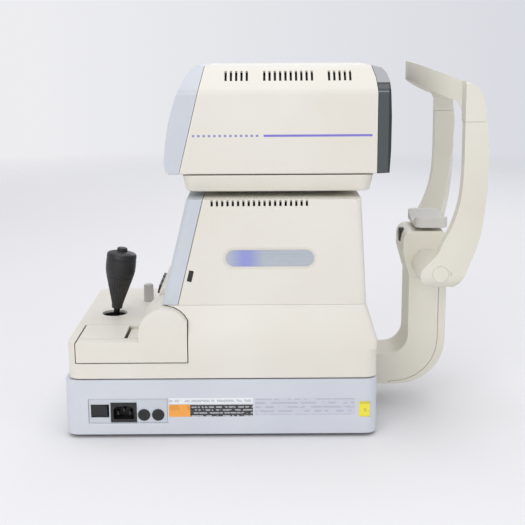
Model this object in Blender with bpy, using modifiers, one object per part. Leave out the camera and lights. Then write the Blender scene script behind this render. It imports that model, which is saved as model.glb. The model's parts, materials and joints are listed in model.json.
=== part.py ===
"""Table-top autorefractor.

+X points to the patient, -Y to the operator's right-hand side, +Z up. The origin is
under the middle of the whole instrument, on the table. All sizes are in metres.
"""

import math

import bmesh
import bpy
import numpy as np
from mathutils import Matrix, Vector

# ---- driving dimensions -------------------------------------------------------------

BASE_LENGTH = 0.367
WIDTH = 0.273
REACH = 0.125  # from the base's patient end to the back of the headrest posts
FOOT_HEIGHT = 0.004
BASE_TOP = 0.0715
SLIDE_GAP = 0.0015  # between the base and the stage that glides over it
STAGE_HEIGHT = 0.044
SKIRT_HEIGHT = 0.040
COLUMN_HEIGHT = 0.124
NECK_GAP = 0.007
TRAY_HEIGHT = 0.019
HEAD_HEIGHT = 0.1222
HEAD_WIDTH = 0.210
COLUMN_WIDTH = 0.240
WALL = 0.003
GAP = 0.0003  # between pieces that touch
SEAM = 0.0012  # between casings
FIT = 0.0005  # round a piece that turns or slides in a hole
LEAN = math.radians(14)  # of the operator's side

STAGE_TRAVEL_Y = 0.043
HEAD_DROP = 0.003

# ---- places worked out from them ----------------------------------------------------

LENGTH = BASE_LENGTH + REACH
BASE_LEFT = -LENGTH / 2
BASE_RIGHT = BASE_LEFT + BASE_LENGTH
STAGE_LEFT = BASE_LEFT + 0.0045
STAGE_RIGHT = BASE_RIGHT - 0.0005
STAGE_BOTTOM = BASE_TOP + SLIDE_GAP
PLATFORM_TOP = STAGE_BOTTOM + STAGE_HEIGHT
SKIRT_TOP = PLATFORM_TOP + SKIRT_HEIGHT
COLUMN_BOTTOM = SKIRT_TOP + GAP
COLUMN_TOP = SKIRT_TOP + COLUMN_HEIGHT
TRAY_BOTTOM = COLUMN_TOP + NECK_GAP
TRAY_TOP = TRAY_BOTTOM + TRAY_HEIGHT
HEAD_BOTTOM = TRAY_TOP + SEAM
HEAD_TOP = HEAD_BOTTOM + HEAD_HEIGHT

PLATFORM_DEPTH = 0.1105
PANEL_DEPTH = 0.019
RISE = math.tan(LEAN)  # how far the operator's side leans, per unit of height


def operator_side(z):
    """X of the column's operator side at a height."""
    return STAGE_LEFT + PLATFORM_DEPTH + (z - SKIRT_TOP) * RISE


PATIENT_BOTTOM = BASE_RIGHT - 0.0125
PATIENT_TOP = PATIENT_BOTTOM - 0.0075
HEAD_BACK = operator_side(COLUMN_TOP) - 0.026
HEAD_FRONT = PATIENT_TOP + 0.0343

# ---- scene and materials ------------------------------------------------------------

for old in list(bpy.data.objects):
    bpy.data.objects.remove(old, do_unlink=True)

MODEL = bpy.data.collections.new("autorefractor")
CUTTERS = bpy.data.collections.new("cutters")
bpy.context.scene.collection.children.link(MODEL)
bpy.context.scene.collection.children.link(CUTTERS)


def material(name, colour, roughness, metallic=0.0, alpha=1.0):
    made = bpy.data.materials.new(name)
    made.use_nodes = True
    shader = made.node_tree.nodes["Principled BSDF"]
    shader.inputs["Base Color"].default_value = (*colour, 1.0)
    shader.inputs["Roughness"].default_value = roughness
    shader.inputs["Metallic"].default_value = metallic
    shader.inputs["Alpha"].default_value = alpha
    return made


CREAM = material("cream casing", (0.80, 0.78, 0.70), 0.45)
BEIGE = material("headrest casing", (0.74, 0.72, 0.62), 0.45)
BLUE_GREY = material("blue-grey casing", (0.62, 0.65, 0.73), 0.42)
PALE_BLUE = material("pale blue trim", (0.55, 0.60, 0.70), 0.40)
CHARCOAL = material("charcoal front", (0.08, 0.09, 0.10), 0.30)
BLACK = material("black plastic", (0.02, 0.02, 0.022), 0.40)
KNOB_GREY = material("grey knob", (0.27, 0.26, 0.28), 0.45)
CUP_GREY = material("chin cup", (0.58, 0.56, 0.55), 0.45)
RUBBER = material("rubber", (0.03, 0.03, 0.03), 0.80)
STEEL = material("steel", (0.60, 0.60, 0.60), 0.30, 1.0)
ALUMINIUM = material("aluminium", (0.75, 0.75, 0.76), 0.35, 1.0)
BOARD_GREEN = material("circuit board", (0.03, 0.20, 0.08), 0.50)
PAPER = material("paper", (0.88, 0.87, 0.84), 0.85)
DARK_GLASS = material("dark glass", (0.03, 0.03, 0.05), 0.08)
BADGE_GREY = material("badge", (0.42, 0.47, 0.50), 0.30)

# ---- shape tools --------------------------------------------------------------------


def add(name, mesh, paint, collection=None):
    obj = bpy.data.objects.new(name, mesh)
    (collection or MODEL).objects.link(obj)
    if paint:
        mesh.materials.clear()
        mesh.materials.append(paint)
    return obj


def smooth(obj, degrees=35):
    obj.data.shade_smooth()
    obj.data.set_sharp_from_angle(angle=math.radians(degrees))
    return obj


def rounded(corners, steps=4):
    """Closed outline through corners (u, v, radius), each corner an arc."""
    points = []
    for i, (u, v, radius) in enumerate(corners):
        here = Vector((u, v))
        if not radius:
            points.append(here)
            continue
        back = (Vector(corners[i - 1][:2]) - here).normalized()
        ahead = (Vector(corners[(i + 1) % len(corners)][:2]) - here).normalized()
        half = back.angle(ahead) / 2
        centre = here + (back + ahead).normalized() * radius / math.sin(half)
        start = here + back * radius / math.tan(half) - centre
        turn = (math.pi - 2 * half) * (1 if back.cross(ahead) < 0 else -1)
        points += [centre + Matrix.Rotation(turn * k / steps, 2) @ start for k in range(steps + 1)]
    return points


def flowing(points, steps=3):
    """A smooth line through points, by Catmull-Rom splines."""
    ends = [2 * points[0] - points[1], *points, 2 * points[-1] - points[-2]]
    line = []
    for a, b, c, d in zip(ends, ends[1:], ends[2:], ends[3:]):
        for k in range(steps):
            t = k / steps
            bend = (2 * a - 5 * b + 4 * c - d) * t**2 + (3 * b - a - 3 * c + d) * t**3
            line.append((2 * b + (c - a) * t + bend) / 2)
    return [*line, points[-1]]


def arc(u, v, radius, start, end, steps):
    """Points on a circle round (u, v), from start to end in degrees."""
    angles = [math.radians(start + (end - start) * k / steps) for k in range(steps + 1)]
    return [Vector((u + radius * math.cos(a), v + radius * math.sin(a))) for a in angles]


def rectangle(low_u, high_u, low_v, high_v, radius=0.0, steps=4):
    corners = [(low_u, low_v), (high_u, low_v), (high_u, high_v), (low_u, high_v)]
    return rounded([(u, v, radius) for u, v in corners], steps)


def stadium(u, v, length, height, steps=6):
    return rectangle(u - length / 2, u + length / 2, v - height / 2, v + height / 2, height / 2 - 1e-5, steps)


TURNED_TO = {
    "X": Matrix(((0, 0, 1), (1, 0, 0), (0, 1, 0))).to_4x4(),
    "Y": Matrix(((1, 0, 0), (0, 0, -1), (0, 1, 0))).to_4x4(),
    "Z": Matrix.Identity(4),
}


def prism(name, points, axis, low, high, paint=None, end_scale=None):
    """A flat outline given thickness from low to high along an axis.

    The outline's own axes are Y and Z along X, X and Z along Y, X and Y along Z.
    end_scale shrinks the low end about the outline's middle.
    """
    curve = bpy.data.curves.new(name, "CURVE")
    curve.dimensions = "2D"
    curve.fill_mode = "BOTH"
    curve.extrude = (high - low) / 2
    spline = curve.splines.new("POLY")
    spline.points.add(len(points) - 1)
    for point, place in zip(spline.points, points):
        point.co = (place[0], place[1], 0, 1)
    spline.use_cyclic_u = True
    guide = bpy.data.objects.new(name, curve)
    MODEL.objects.link(guide)
    middle = (high + low) / 2
    guide.matrix_world = TURNED_TO[axis] @ Matrix.Translation((0, 0, -middle if axis == "Y" else middle))
    bpy.context.view_layer.update()
    mesh = bpy.data.meshes.new_from_object(guide.evaluated_get(bpy.context.evaluated_depsgraph_get()))
    place = guide.matrix_world.copy()
    bpy.data.objects.remove(guide)
    solid = bmesh.new()
    solid.from_mesh(mesh)
    bmesh.ops.remove_doubles(solid, verts=solid.verts, dist=1e-6)
    bmesh.ops.recalc_face_normals(solid, faces=solid.faces)
    if end_scale:
        centre = sum((v.co for v in solid.verts), Vector()) / len(solid.verts)
        for vertex in solid.verts:
            if vertex.co.z < centre.z:
                vertex.co.x = centre.x + (vertex.co.x - centre.x) * end_scale[0]
                vertex.co.y = centre.y + (vertex.co.y - centre.y) * end_scale[1]
    solid.to_mesh(mesh)
    solid.free()
    obj = add(name, mesh, paint)
    obj.matrix_world = place
    return obj


def box(name, low, high, paint=None, edge=0.0):
    low, high = Vector(low), Vector(high)
    mesh = bpy.data.meshes.new(name)
    solid = bmesh.new()
    bmesh.ops.create_cube(solid, size=1)
    bmesh.ops.scale(solid, vec=high - low, verts=solid.verts)
    solid.to_mesh(mesh)
    solid.free()
    obj = add(name, mesh, paint)
    obj.location = (low + high) / 2
    if edge:
        bevel(obj, edge)
    return obj


def rod(name, start, end, radius, paint=None, sides=16, edge=0.0):
    start, end = Vector(start), Vector(end)
    mesh = bpy.data.meshes.new(name)
    solid = bmesh.new()
    length = (end - start).length
    bmesh.ops.create_cone(
        solid, cap_ends=True, segments=sides, radius1=radius, radius2=radius, depth=length
    )
    solid.to_mesh(mesh)
    solid.free()
    obj = add(name, mesh, paint)
    obj.location = (start + end) / 2
    obj.rotation_mode = "QUATERNION"
    obj.rotation_quaternion = (end - start).to_track_quat("Z", "Y")
    if edge:
        bevel(obj, edge)
    return smooth(obj)


def turned(name, profile, place, axis, paint, steps=24):
    """A turned shape: profile (radius, height) down its outer side, about an axis from place."""
    mesh = bpy.data.meshes.new(name)
    edges = [(i, i + 1) for i in range(len(profile) - 1)]
    mesh.from_pydata([(radius, 0, height) for radius, height in profile], edges, [])
    obj = add(name, mesh, paint)
    obj.location = place
    obj.rotation_mode = "QUATERNION"
    obj.rotation_quaternion = Vector(axis).to_track_quat("Z", "Y")
    screw = obj.modifiers.new("turn", "SCREW")
    screw.steps = screw.render_steps = steps
    screw.use_merge_vertices = True
    screw.merge_threshold = 1e-5
    return obj


def bevel(obj, width, segments=2, degrees=40):
    rounding = obj.modifiers.new("rounded edges", "BEVEL")
    rounding.width = width
    rounding.segments = segments
    rounding.limit_method = "ANGLE"
    rounding.angle_limit = math.radians(degrees)
    return obj


def bevel_upright(obj, width):
    """Rounds only the edges that run up the piece."""
    solid = bmesh.new()
    solid.from_mesh(obj.data)
    weight = solid.edges.layers.float.new("bevel_weight_edge")
    turn = obj.matrix_world.to_3x3()
    for edge in solid.edges:
        way = (turn @ (edge.verts[1].co - edge.verts[0].co)).normalized()
        edge[weight] = float(abs(way.z) > 0.9 and edge.calc_face_angle(0.0) > 0.5)
    solid.to_mesh(obj.data)
    solid.free()
    rounding = obj.modifiers.new("rounded corners", "BEVEL")
    rounding.width = width
    rounding.segments = 4
    rounding.limit_method = "WEIGHT"
    return obj


def boolean(obj, tool, operation="DIFFERENCE", solver="EXACT"):
    change = obj.modifiers.new(tool.name, "BOOLEAN")
    change.object = tool
    change.operation = operation
    change.solver = solver
    if tool.name not in CUTTERS.objects:
        MODEL.objects.unlink(tool)
        CUTTERS.objects.link(tool)
        tool.hide_render = True
        tool.display_type = "WIRE"
    return obj


def cut(obj, *tools):
    for tool in tools:
        boolean(obj, tool)
    return obj


def join(obj, *tools):
    for tool in tools:
        boolean(obj, tool, "UNION")
    return obj


def body(name, place, parent=None):
    """An empty on a joint's axis. Its location stays in world terms under any parent."""
    pivot = bpy.data.objects.new(name + "_joint", None)
    pivot.empty_display_size = 0.02
    MODEL.objects.link(pivot)
    pivot.location = place
    if parent:
        hang(pivot, parent)
    return pivot


def hang(obj, pivot):
    """Parents obj to an empty and leaves it where it is in the world."""
    obj.parent = pivot
    obj.matrix_parent_inverse = Matrix.Translation(pivot.location).inverted()


def ride(pivot, *objects):
    for obj in objects:
        hang(obj, pivot)


# ---- base ---------------------------------------------------------------------------

BASE_CORNER = 0.014
DECK = 0.003
PLATE = 0.0015
BASE_TRIM = 0.004  # rounding of the base's upper and lower edges

near = -WIDTH / 2
far = WIDTH / 2


def plan(left, right, half_width, radius, steps=4):
    return rectangle(left, right, -half_width, half_width, radius, steps)


base_housing = prism(
    "base_housing", plan(BASE_LEFT, BASE_RIGHT, far, BASE_CORNER), "Z", FOOT_HEIGHT, BASE_TOP, BLUE_GREY
)
bevel(base_housing, BASE_TRIM)
cut(
    base_housing,
    prism(
        "base_inside",
        plan(BASE_LEFT + WALL, BASE_RIGHT - WALL, far - WALL, BASE_CORNER - WALL),
        "Z",
        -FOOT_HEIGHT,
        BASE_TOP - DECK,
    ),
)

prism(
    "base_plate",
    plan(
        BASE_LEFT + WALL + BASE_TRIM,
        BASE_RIGHT - WALL - BASE_TRIM,
        far - WALL - BASE_TRIM,
        BASE_CORNER - WALL,
    ),
    "Z",
    FOOT_HEIGHT + GAP,
    FOOT_HEIGHT + GAP + PLATE,
    STEEL,
)

FOOT_RADIUS = 0.011
FOOT_INSET = 0.034
feet = {
    "foot_operator_near": (BASE_LEFT + FOOT_INSET, near + FOOT_INSET),
    "foot_operator_far": (BASE_LEFT + FOOT_INSET, far - FOOT_INSET),
    "foot_patient_near": (BASE_RIGHT - FOOT_INSET, near + FOOT_INSET),
    "foot_patient_far": (BASE_RIGHT - FOOT_INSET, far - FOOT_INSET),
}
for name, (x, y) in feet.items():
    rod(name, (x, y, 0), (x, y, FOOT_HEIGHT), FOOT_RADIUS, RUBBER)

# ---- power panel in the base's near side --------------------------------------------

POWER_LEFT = BASE_LEFT + 0.0273
POWER_LENGTH = 0.0931
POWER_LOW = 0.018
POWER_HIGH = 0.048
POWER_RECESS = 0.0015
ROCKER_LENGTH = 0.0205
ROCKER_HEIGHT = 0.0151
INLET_LENGTH = 0.0301
INLET_HEIGHT = 0.0236
SOCKET_LENGTH = 0.024
SOCKET_HEIGHT = 0.0165
SOCKET_DEPTH = 0.0165
PIN_PITCH = 0.014
FUSE_RADIUS = 0.0073
FUSE_PITCH = 0.0166

power_middle = (POWER_LOW + POWER_HIGH) / 2
rocker_x = POWER_LEFT + 0.0031 + ROCKER_LENGTH / 2
inlet_x = rocker_x + ROCKER_LENGTH / 2 + 0.0026 + INLET_LENGTH / 2
fuse_x = inlet_x + INLET_LENGTH / 2 + 0.0016 + FUSE_RADIUS
fuse_z = power_middle - 0.0048
inlet_z = power_middle - 0.0018

cut(
    base_housing,
    box(
        "power_hole",
        (POWER_LEFT, near - 0.01, POWER_LOW),
        (POWER_LEFT + POWER_LENGTH, near + WALL + 0.01, POWER_HIGH),
    ),
)
panel_face = near + POWER_RECESS
power_panel = box(
    "power_panel",
    (POWER_LEFT + GAP, panel_face, POWER_LOW + GAP),
    (POWER_LEFT + POWER_LENGTH - GAP, panel_face + 0.002, POWER_HIGH - GAP),
    PALE_BLUE,
)

ROCKER_HOLE = ROCKER_LENGTH + 2 * FIT
cut(
    power_panel,
    box(
        "rocker_hole",
        (rocker_x - ROCKER_HOLE / 2, near - 0.01, power_middle - ROCKER_HEIGHT / 2 - FIT),
        (rocker_x + ROCKER_HOLE / 2, near + 0.02, power_middle + ROCKER_HEIGHT / 2 + FIT),
    ),
    box(
        "inlet_hole",
        (inlet_x - INLET_LENGTH / 2 - GAP, near - 0.01, inlet_z - INLET_HEIGHT / 2 - GAP),
        (inlet_x + INLET_LENGTH / 2 + GAP, near + 0.02, inlet_z + INLET_HEIGHT / 2 + GAP),
    ),
)
for number in range(2):
    x = fuse_x + number * FUSE_PITCH
    cut(power_panel, rod(f"fuse_hole_{number}", (x, near - 0.01, fuse_z), (x, near + 0.02, fuse_z), 0.0058))

ROCKER_TILT = math.radians(8)
rocker_y = panel_face + 0.0065
rocker_axis = body("power_rocker", (rocker_x, rocker_y, power_middle))
half_rocker = ROCKER_LENGTH / 2 - 0.0005
power_rocker = prism(
    "power_rocker",
    [(-half_rocker, -0.0065), (0, -0.0045), (half_rocker, -0.0065), (half_rocker, 0.002), (-half_rocker, 0.002)],
    "Z",
    power_middle - ROCKER_HEIGHT / 2 + 0.0005,
    power_middle + ROCKER_HEIGHT / 2 - 0.0005,
    BLACK,
)
power_rocker.matrix_world = (
    Matrix.Translation((rocker_x, rocker_y, 0))
    @ Matrix.Rotation(-ROCKER_TILT, 4, "Z")
    @ power_rocker.matrix_world
)
ride(rocker_axis, power_rocker)

mains_inlet = box(
    "mains_inlet",
    (inlet_x - INLET_LENGTH / 2, panel_face - 0.001, inlet_z - INLET_HEIGHT / 2),
    (inlet_x + INLET_LENGTH / 2, panel_face + 0.020, inlet_z + INLET_HEIGHT / 2),
    BLACK,
)
socket_corners = [
    (inlet_x - SOCKET_LENGTH / 2, inlet_z - SOCKET_HEIGHT / 2, 0),
    (inlet_x + SOCKET_LENGTH / 2, inlet_z - SOCKET_HEIGHT / 2, 0),
    (inlet_x + SOCKET_LENGTH / 2, inlet_z + SOCKET_HEIGHT / 4, 0),
    (inlet_x + SOCKET_LENGTH / 3, inlet_z + SOCKET_HEIGHT / 2, 0),
    (inlet_x - SOCKET_LENGTH / 3, inlet_z + SOCKET_HEIGHT / 2, 0),
    (inlet_x - SOCKET_LENGTH / 2, inlet_z + SOCKET_HEIGHT / 4, 0),
]
socket_floor = panel_face - 0.001 + SOCKET_DEPTH
cut(mains_inlet, prism("socket", rounded(socket_corners), "Y", near - 0.01, socket_floor))
for number, (x, z) in enumerate(((-PIN_PITCH / 2, -0.002), (0, 0.002), (PIN_PITCH / 2, -0.002))):
    pin = box(
        f"inlet_pin_{number}",
        (inlet_x + x - 0.001, socket_floor - 0.0125, inlet_z + z - 0.002),
        (inlet_x + x + 0.001, socket_floor + 0.001, inlet_z + z + 0.002),
    )
    join(mains_inlet, pin)

for number in range(2):
    x = fuse_x + number * FUSE_PITCH
    place = (x, panel_face - 0.0014, fuse_z)
    fuse_axis = body(f"fuse_cap_{number + 1}", place)
    cap = turned(
        f"fuse_cap_{number + 1}",
        [
            (0, 0),
            (0.0064, 0),
            (FUSE_RADIUS, -0.0005),
            (FUSE_RADIUS, -0.0011),
            (0.0053, -0.0011),
            (0.0053, -0.018),
            (0, -0.018),
        ],
        place,
        (0, -1, 0),
        BLACK,
        steps=16,
    )
    slot = box(
        f"fuse_slot_{number}",
        (x - 0.0042, place[1] - 0.001, fuse_z - 0.0006),
        (x + 0.0042, place[1] + 0.0006, fuse_z + 0.0006),
    )
    cut(cap, slot)
    smooth(cap)
    ride(fuse_axis, cap)

SUPPLY_SIZE = Vector((0.110, 0.085, 0.042))
supply_low = Vector((POWER_LEFT, near + 0.045, FOOT_HEIGHT + PLATE + 2 * GAP))
box("power_supply", supply_low, supply_low + SUPPLY_SIZE, ALUMINIUM)

# ---- crossed slides between base and stage ------------------------------------------

RAIL_WIDTH = 0.009
RAIL_HEIGHT = 0.006
RAIL_FIT = 0.0005
SLIDE_PLATE = 0.009
CARRIAGE_HALF = 0.040  # half the carriage's width along Y

stage_middle = (STAGE_LEFT + STAGE_RIGHT) / 2
cross_rail_half = far - WALL - 0.003 - STAGE_TRAVEL_Y
rail_bottom = BASE_TOP + GAP
cross_xs = (stage_middle - 0.050, stage_middle + 0.110)
carriage_low = rail_bottom + 0.001
carriage_left = cross_xs[0] - 0.012
carriage_right = cross_xs[1] + 0.012

carriage_axis = body("carriage", (stage_middle, 0, rail_bottom))
carriage_plate = box(
    "carriage_plate",
    (carriage_left, -CARRIAGE_HALF, carriage_low),
    (carriage_right, CARRIAGE_HALF, carriage_low + SLIDE_PLATE),
    ALUMINIUM,
)
for name, x in zip(("cross_rail_operator", "cross_rail_patient"), cross_xs):
    half = RAIL_WIDTH / 2
    rail_top = rail_bottom + RAIL_HEIGHT
    box(name, (x - half, -cross_rail_half, rail_bottom), (x + half, cross_rail_half, rail_top), STEEL)
    cut(
        carriage_plate,
        box(
            name + "_groove",
            (x - half - RAIL_FIT, -CARRIAGE_HALF - 0.01, rail_bottom - 0.001),
            (x + half + RAIL_FIT, CARRIAGE_HALF + 0.01, rail_bottom + RAIL_HEIGHT + RAIL_FIT),
        ),
    )

fore_bottom = carriage_low + SLIDE_PLATE + GAP
fore_ys = (-0.028, 0.028)
chassis_low = fore_bottom + 0.001
CHASSIS_HALF_LENGTH = 0.055
chassis_middle = (carriage_left + carriage_right) / 2
chassis_half_width = far - WALL - 0.006

stage_axis = body("stage", (stage_middle, 0, fore_bottom), carriage_axis)
stage_chassis = box(
    "stage_chassis",
    (chassis_middle - CHASSIS_HALF_LENGTH, -0.060 + 0.001, chassis_low),
    (chassis_middle + CHASSIS_HALF_LENGTH, chassis_half_width, chassis_low + SLIDE_PLATE),
    ALUMINIUM,
)
for name, y in zip(("fore_rail_near", "fore_rail_far"), fore_ys):
    half = RAIL_WIDTH / 2
    rail = box(
        name,
        (carriage_left + 0.002, y - half, fore_bottom),
        (carriage_right - 0.002, y + half, fore_bottom + RAIL_HEIGHT),
        STEEL,
    )
    ride(carriage_axis, rail)
    cut(
        stage_chassis,
        box(
            name + "_groove",
            (carriage_left - 0.01, y - half - RAIL_FIT, fore_bottom - 0.001),
            (carriage_right + 0.01, y + half + RAIL_FIT, fore_bottom + RAIL_HEIGHT + RAIL_FIT),
        ),
    )
ride(carriage_axis, carriage_plate)
chassis_top = chassis_low + SLIDE_PLATE

# ---- stage casing: platform and skirt in one moulding -------------------------------

STAGE_CORNER = 0.014
PLATFORM_TRIM = 0.006
COLUMN_CORNER = 0.008
PRINTER_WIDTH = 0.0745
COVER_LENGTH = 0.130
COVER_DEPTH = 0.0155
COVER_BOTTOM = PLATFORM_TOP - 0.0245
COVER_CORNER = 0.0025
COVER_GAP = 0.0012
HUMP_RADIUS = 0.0305
HUMP_RISE = 0.0085  # from the platform up to the hump's centre

cover_left = STAGE_LEFT + 0.0105
cover_right = cover_left + COVER_LENGTH
cover_far = near + PRINTER_WIDTH
frame_far = cover_far + 0.0035
hump_x = cover_right - 0.0265
hump_z = PLATFORM_TOP + HUMP_RISE
column_half = COLUMN_WIDTH / 2


def cover_outline(inset, low):
    """Side view of the printer cover: flat front, then the round hump."""
    radius = HUMP_RADIUS - inset
    start = math.degrees(math.asin((PLATFORM_TOP - inset - hump_z) / radius))
    end = math.degrees(math.acos((cover_right - inset - hump_x) / radius))
    hump = arc(hump_x, hump_z, radius, 180 - start, end, 12)
    level = PLATFORM_TOP - inset
    left = cover_left + inset
    front = rounded([(left, low, 0), (left, level, COVER_CORNER), (hump[0].x, level, 0)], 3)
    return front[:-1] + hump + [Vector((cover_right - inset, low))]


stage_casing = prism(
    "stage_casing", plan(STAGE_LEFT, STAGE_RIGHT, far, STAGE_CORNER), "Z", STAGE_BOTTOM, PLATFORM_TOP, CREAM
)
bevel(stage_casing, PLATFORM_TRIM)


def skirt(name, inset, low, high, paint=None):
    """The flared foot of the column, from the platform up to the column cover."""
    left_low = operator_side(PLATFORM_TOP) + inset
    left_high = operator_side(SKIRT_TOP) + inset
    right_low = STAGE_RIGHT - inset
    right_high = PATIENT_BOTTOM - inset
    wide = far - inset
    narrow = column_half - inset
    lower = plan(left_low, right_low, wide, COLUMN_CORNER)
    upper = plan(left_high, right_high, narrow, COLUMN_CORNER)
    drawn = bmesh.new()
    rings = []
    for z in (low, PLATFORM_TOP, high):
        share = max(0.0, (z - PLATFORM_TOP) / SKIRT_HEIGHT)
        ring = [a.lerp(b, share) for a, b in zip(lower, upper)]
        rings.append([drawn.verts.new((p.x, p.y, z)) for p in ring])
    count = len(lower)
    for below, above in zip(rings, rings[1:]):
        for k in range(count):
            after = (k + 1) % count
            drawn.faces.new((below[k], below[after], above[after], above[k]))
    drawn.faces.new(rings[0][::-1])
    drawn.faces.new(rings[-1])
    bmesh.ops.recalc_face_normals(drawn, faces=drawn.faces)
    mesh = bpy.data.meshes.new(name)
    drawn.to_mesh(mesh)
    drawn.free()
    return add(name, mesh, paint)


join(stage_casing, skirt("skirt_outside", 0.0, PLATFORM_TOP - PLATFORM_TRIM - 0.004, SKIRT_TOP))
cut(
    stage_casing,
    prism(
        "stage_inside",
        plan(STAGE_LEFT + WALL, STAGE_RIGHT - WALL, far - WALL, STAGE_CORNER - WALL),
        "Z",
        STAGE_BOTTOM - 0.01,
        PLATFORM_TOP - WALL,
    ),
    skirt("skirt_inside", WALL, PLATFORM_TOP - 2 * WALL, SKIRT_TOP + 0.001),
    prism(
        "printer_opening",
        cover_outline(-COVER_GAP, COVER_BOTTOM - COVER_GAP),
        "Y",
        near - 0.01,
        frame_far + COVER_GAP,
    ),
)

# ---- printer ------------------------------------------------------------------------

COVER_WALL = 0.0025
SPINDLE_FIT = 0.0006  # round the fixed spindle inside the roll's core
ROLL_RADIUS = 0.0225
ROLL_CORE = 0.006
PLATEN_RADIUS = 0.0045
SLOT_WIDTH = 0.0025
SLOT_ROOM = 0.0202  # length of the window in front of the hump

COVER_HINGE = Vector((0, near + 0.002, COVER_BOTTOM + 0.003))
cover_axis = body("printer_cover", (cover_left, COVER_HINGE.y, COVER_HINGE.z), stage_axis)
printer_cover = prism("printer_cover", cover_outline(0.0, COVER_BOTTOM), "Y", near, near + COVER_DEPTH, CREAM)
cut(
    printer_cover,
    prism(
        "cover_inside",
        cover_outline(COVER_WALL, COVER_BOTTOM - 0.01),
        "Y",
        near + COVER_WALL,
        near + COVER_DEPTH + 0.01,
    ),
)
ride(cover_axis, printer_cover)

slot_left = hump_x - HUMP_RADIUS - 0.019
slot_right = slot_left + SLOT_ROOM
floor_top = COVER_BOTTOM + 0.0015
roll_x = hump_x
roll_z = floor_top + ROLL_RADIUS + 0.0015
printer_frame = prism(
    "printer_frame", cover_outline(0.0, COVER_BOTTOM), "Y", near + COVER_DEPTH + COVER_GAP, frame_far, CREAM
)
cut(
    printer_frame,
    prism("frame_inside", cover_outline(COVER_WALL, floor_top), "Y", near, frame_far - COVER_WALL),
    box(
        "paper_window",
        (slot_left, near + 0.0185, PLATFORM_TOP - 0.004),
        (slot_right, frame_far - COVER_WALL - 0.001, PLATFORM_TOP + 0.001),
    ),
)
join(
    printer_frame,
    box(
        "tear_plate",
        (slot_left + SLOT_WIDTH, near + 0.020, PLATFORM_TOP - 0.0065),
        (slot_right + 0.002, frame_far - 0.001, PLATFORM_TOP - 0.0045),
    ),
    rod(
        "roll_spindle",
        (roll_x, near + 0.030, roll_z),
        (roll_x, frame_far - 0.001, roll_z),
        ROLL_CORE - SPINDLE_FIT,
    ),
)

roll_near = near + 0.0115
roll_far = cover_far - 0.0045
roll_axis = body("paper_roll", (roll_x, roll_near, roll_z), stage_axis)
paper_roll = rod("paper_roll", (roll_x, roll_near, roll_z), (roll_x, roll_far, roll_z), ROLL_RADIUS, PAPER, 32)
roll_core = rod("roll_core", (roll_x, roll_near - 0.01, roll_z), (roll_x, roll_far + 0.01, roll_z), ROLL_CORE)
cut(paper_roll, roll_core)
ride(roll_axis, paper_roll)

platen_x = slot_left + SLOT_WIDTH + PLATEN_RADIUS
platen_z = PLATFORM_TOP - 0.0065 - PLATEN_RADIUS - 0.0015
platen_axis = body("platen_roller", (platen_x, roll_near, platen_z), stage_axis)
platen_roller = rod(
    "platen_roller", (platen_x, roll_near, platen_z), (platen_x, roll_far, platen_z), PLATEN_RADIUS, RUBBER
)
ride(platen_axis, platen_roller)

# ---- joystick -----------------------------------------------------------------------

JOYSTICK_HOLE = 0.016
JOYSTICK_LEAN = math.radians(7)
PIVOT_DEPTH = 0.017
STEM_RADIUS = 0.004
BALL_RADIUS = 0.007
GIMBAL_INNER = 0.0105
GIMBAL_OUTER = 0.0140
SOCKET_INNER = 0.0155
SOCKET_OUTER = 0.0190
PIVOT_PIN = 0.0015
FOOT_BALL = 0.005
GRIP_BOTTOM = 0.024
GRIP_RIM = 0.096
BUTTON_RADIUS = 0.0065
BUTTON_TOP = 0.1035

pivot_place = Vector((STAGE_LEFT + 0.038, 0, PLATFORM_TOP - PIVOT_DEPTH))
stick = Vector((math.sin(JOYSTICK_LEAN), 0, math.cos(JOYSTICK_LEAN)))


def on_stick(distance):
    return pivot_place + stick * distance


cut(
    stage_casing,
    rod(
        "joystick_hole",
        pivot_place + Vector((0, 0, PIVOT_DEPTH - 0.01)),
        pivot_place + Vector((0, 0, PIVOT_DEPTH + 0.01)),
        JOYSTICK_HOLE,
        sides=32,
    ),
)

SOCKET_TOP = PIVOT_DEPTH - WALL - GAP
joystick_socket = turned(
    "joystick_socket",
    [
        (SOCKET_INNER, SOCKET_TOP),
        (SOCKET_OUTER, SOCKET_TOP),
        (SOCKET_OUTER, -0.007),
        (SOCKET_INNER, -0.007),
        (SOCKET_INNER, SOCKET_TOP),
    ],
    pivot_place,
    (0, 0, 1),
    BLACK,
)

gimbal_axis = body("joystick_gimbal", pivot_place, stage_axis)
gimbal = turned(
    "joystick_gimbal",
    [
        (GIMBAL_INNER, 0.0025),
        (GIMBAL_OUTER, 0.0025),
        (GIMBAL_OUTER, -0.0025),
        (GIMBAL_INNER, -0.0025),
        (GIMBAL_INNER, 0.0025),
    ],
    pivot_place,
    (0, 0, 1),
    STEEL,
)
for side in (-1, 1):
    inner = pivot_place + Vector((0, side * (GIMBAL_OUTER - 0.001), 0))
    outer = pivot_place + Vector((0, side * (SOCKET_INNER - GAP), 0))
    join(gimbal, rod(f"gimbal_pin_{side}", inner, outer, PIVOT_PIN, sides=8))
ride(gimbal_axis, gimbal)

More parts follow.
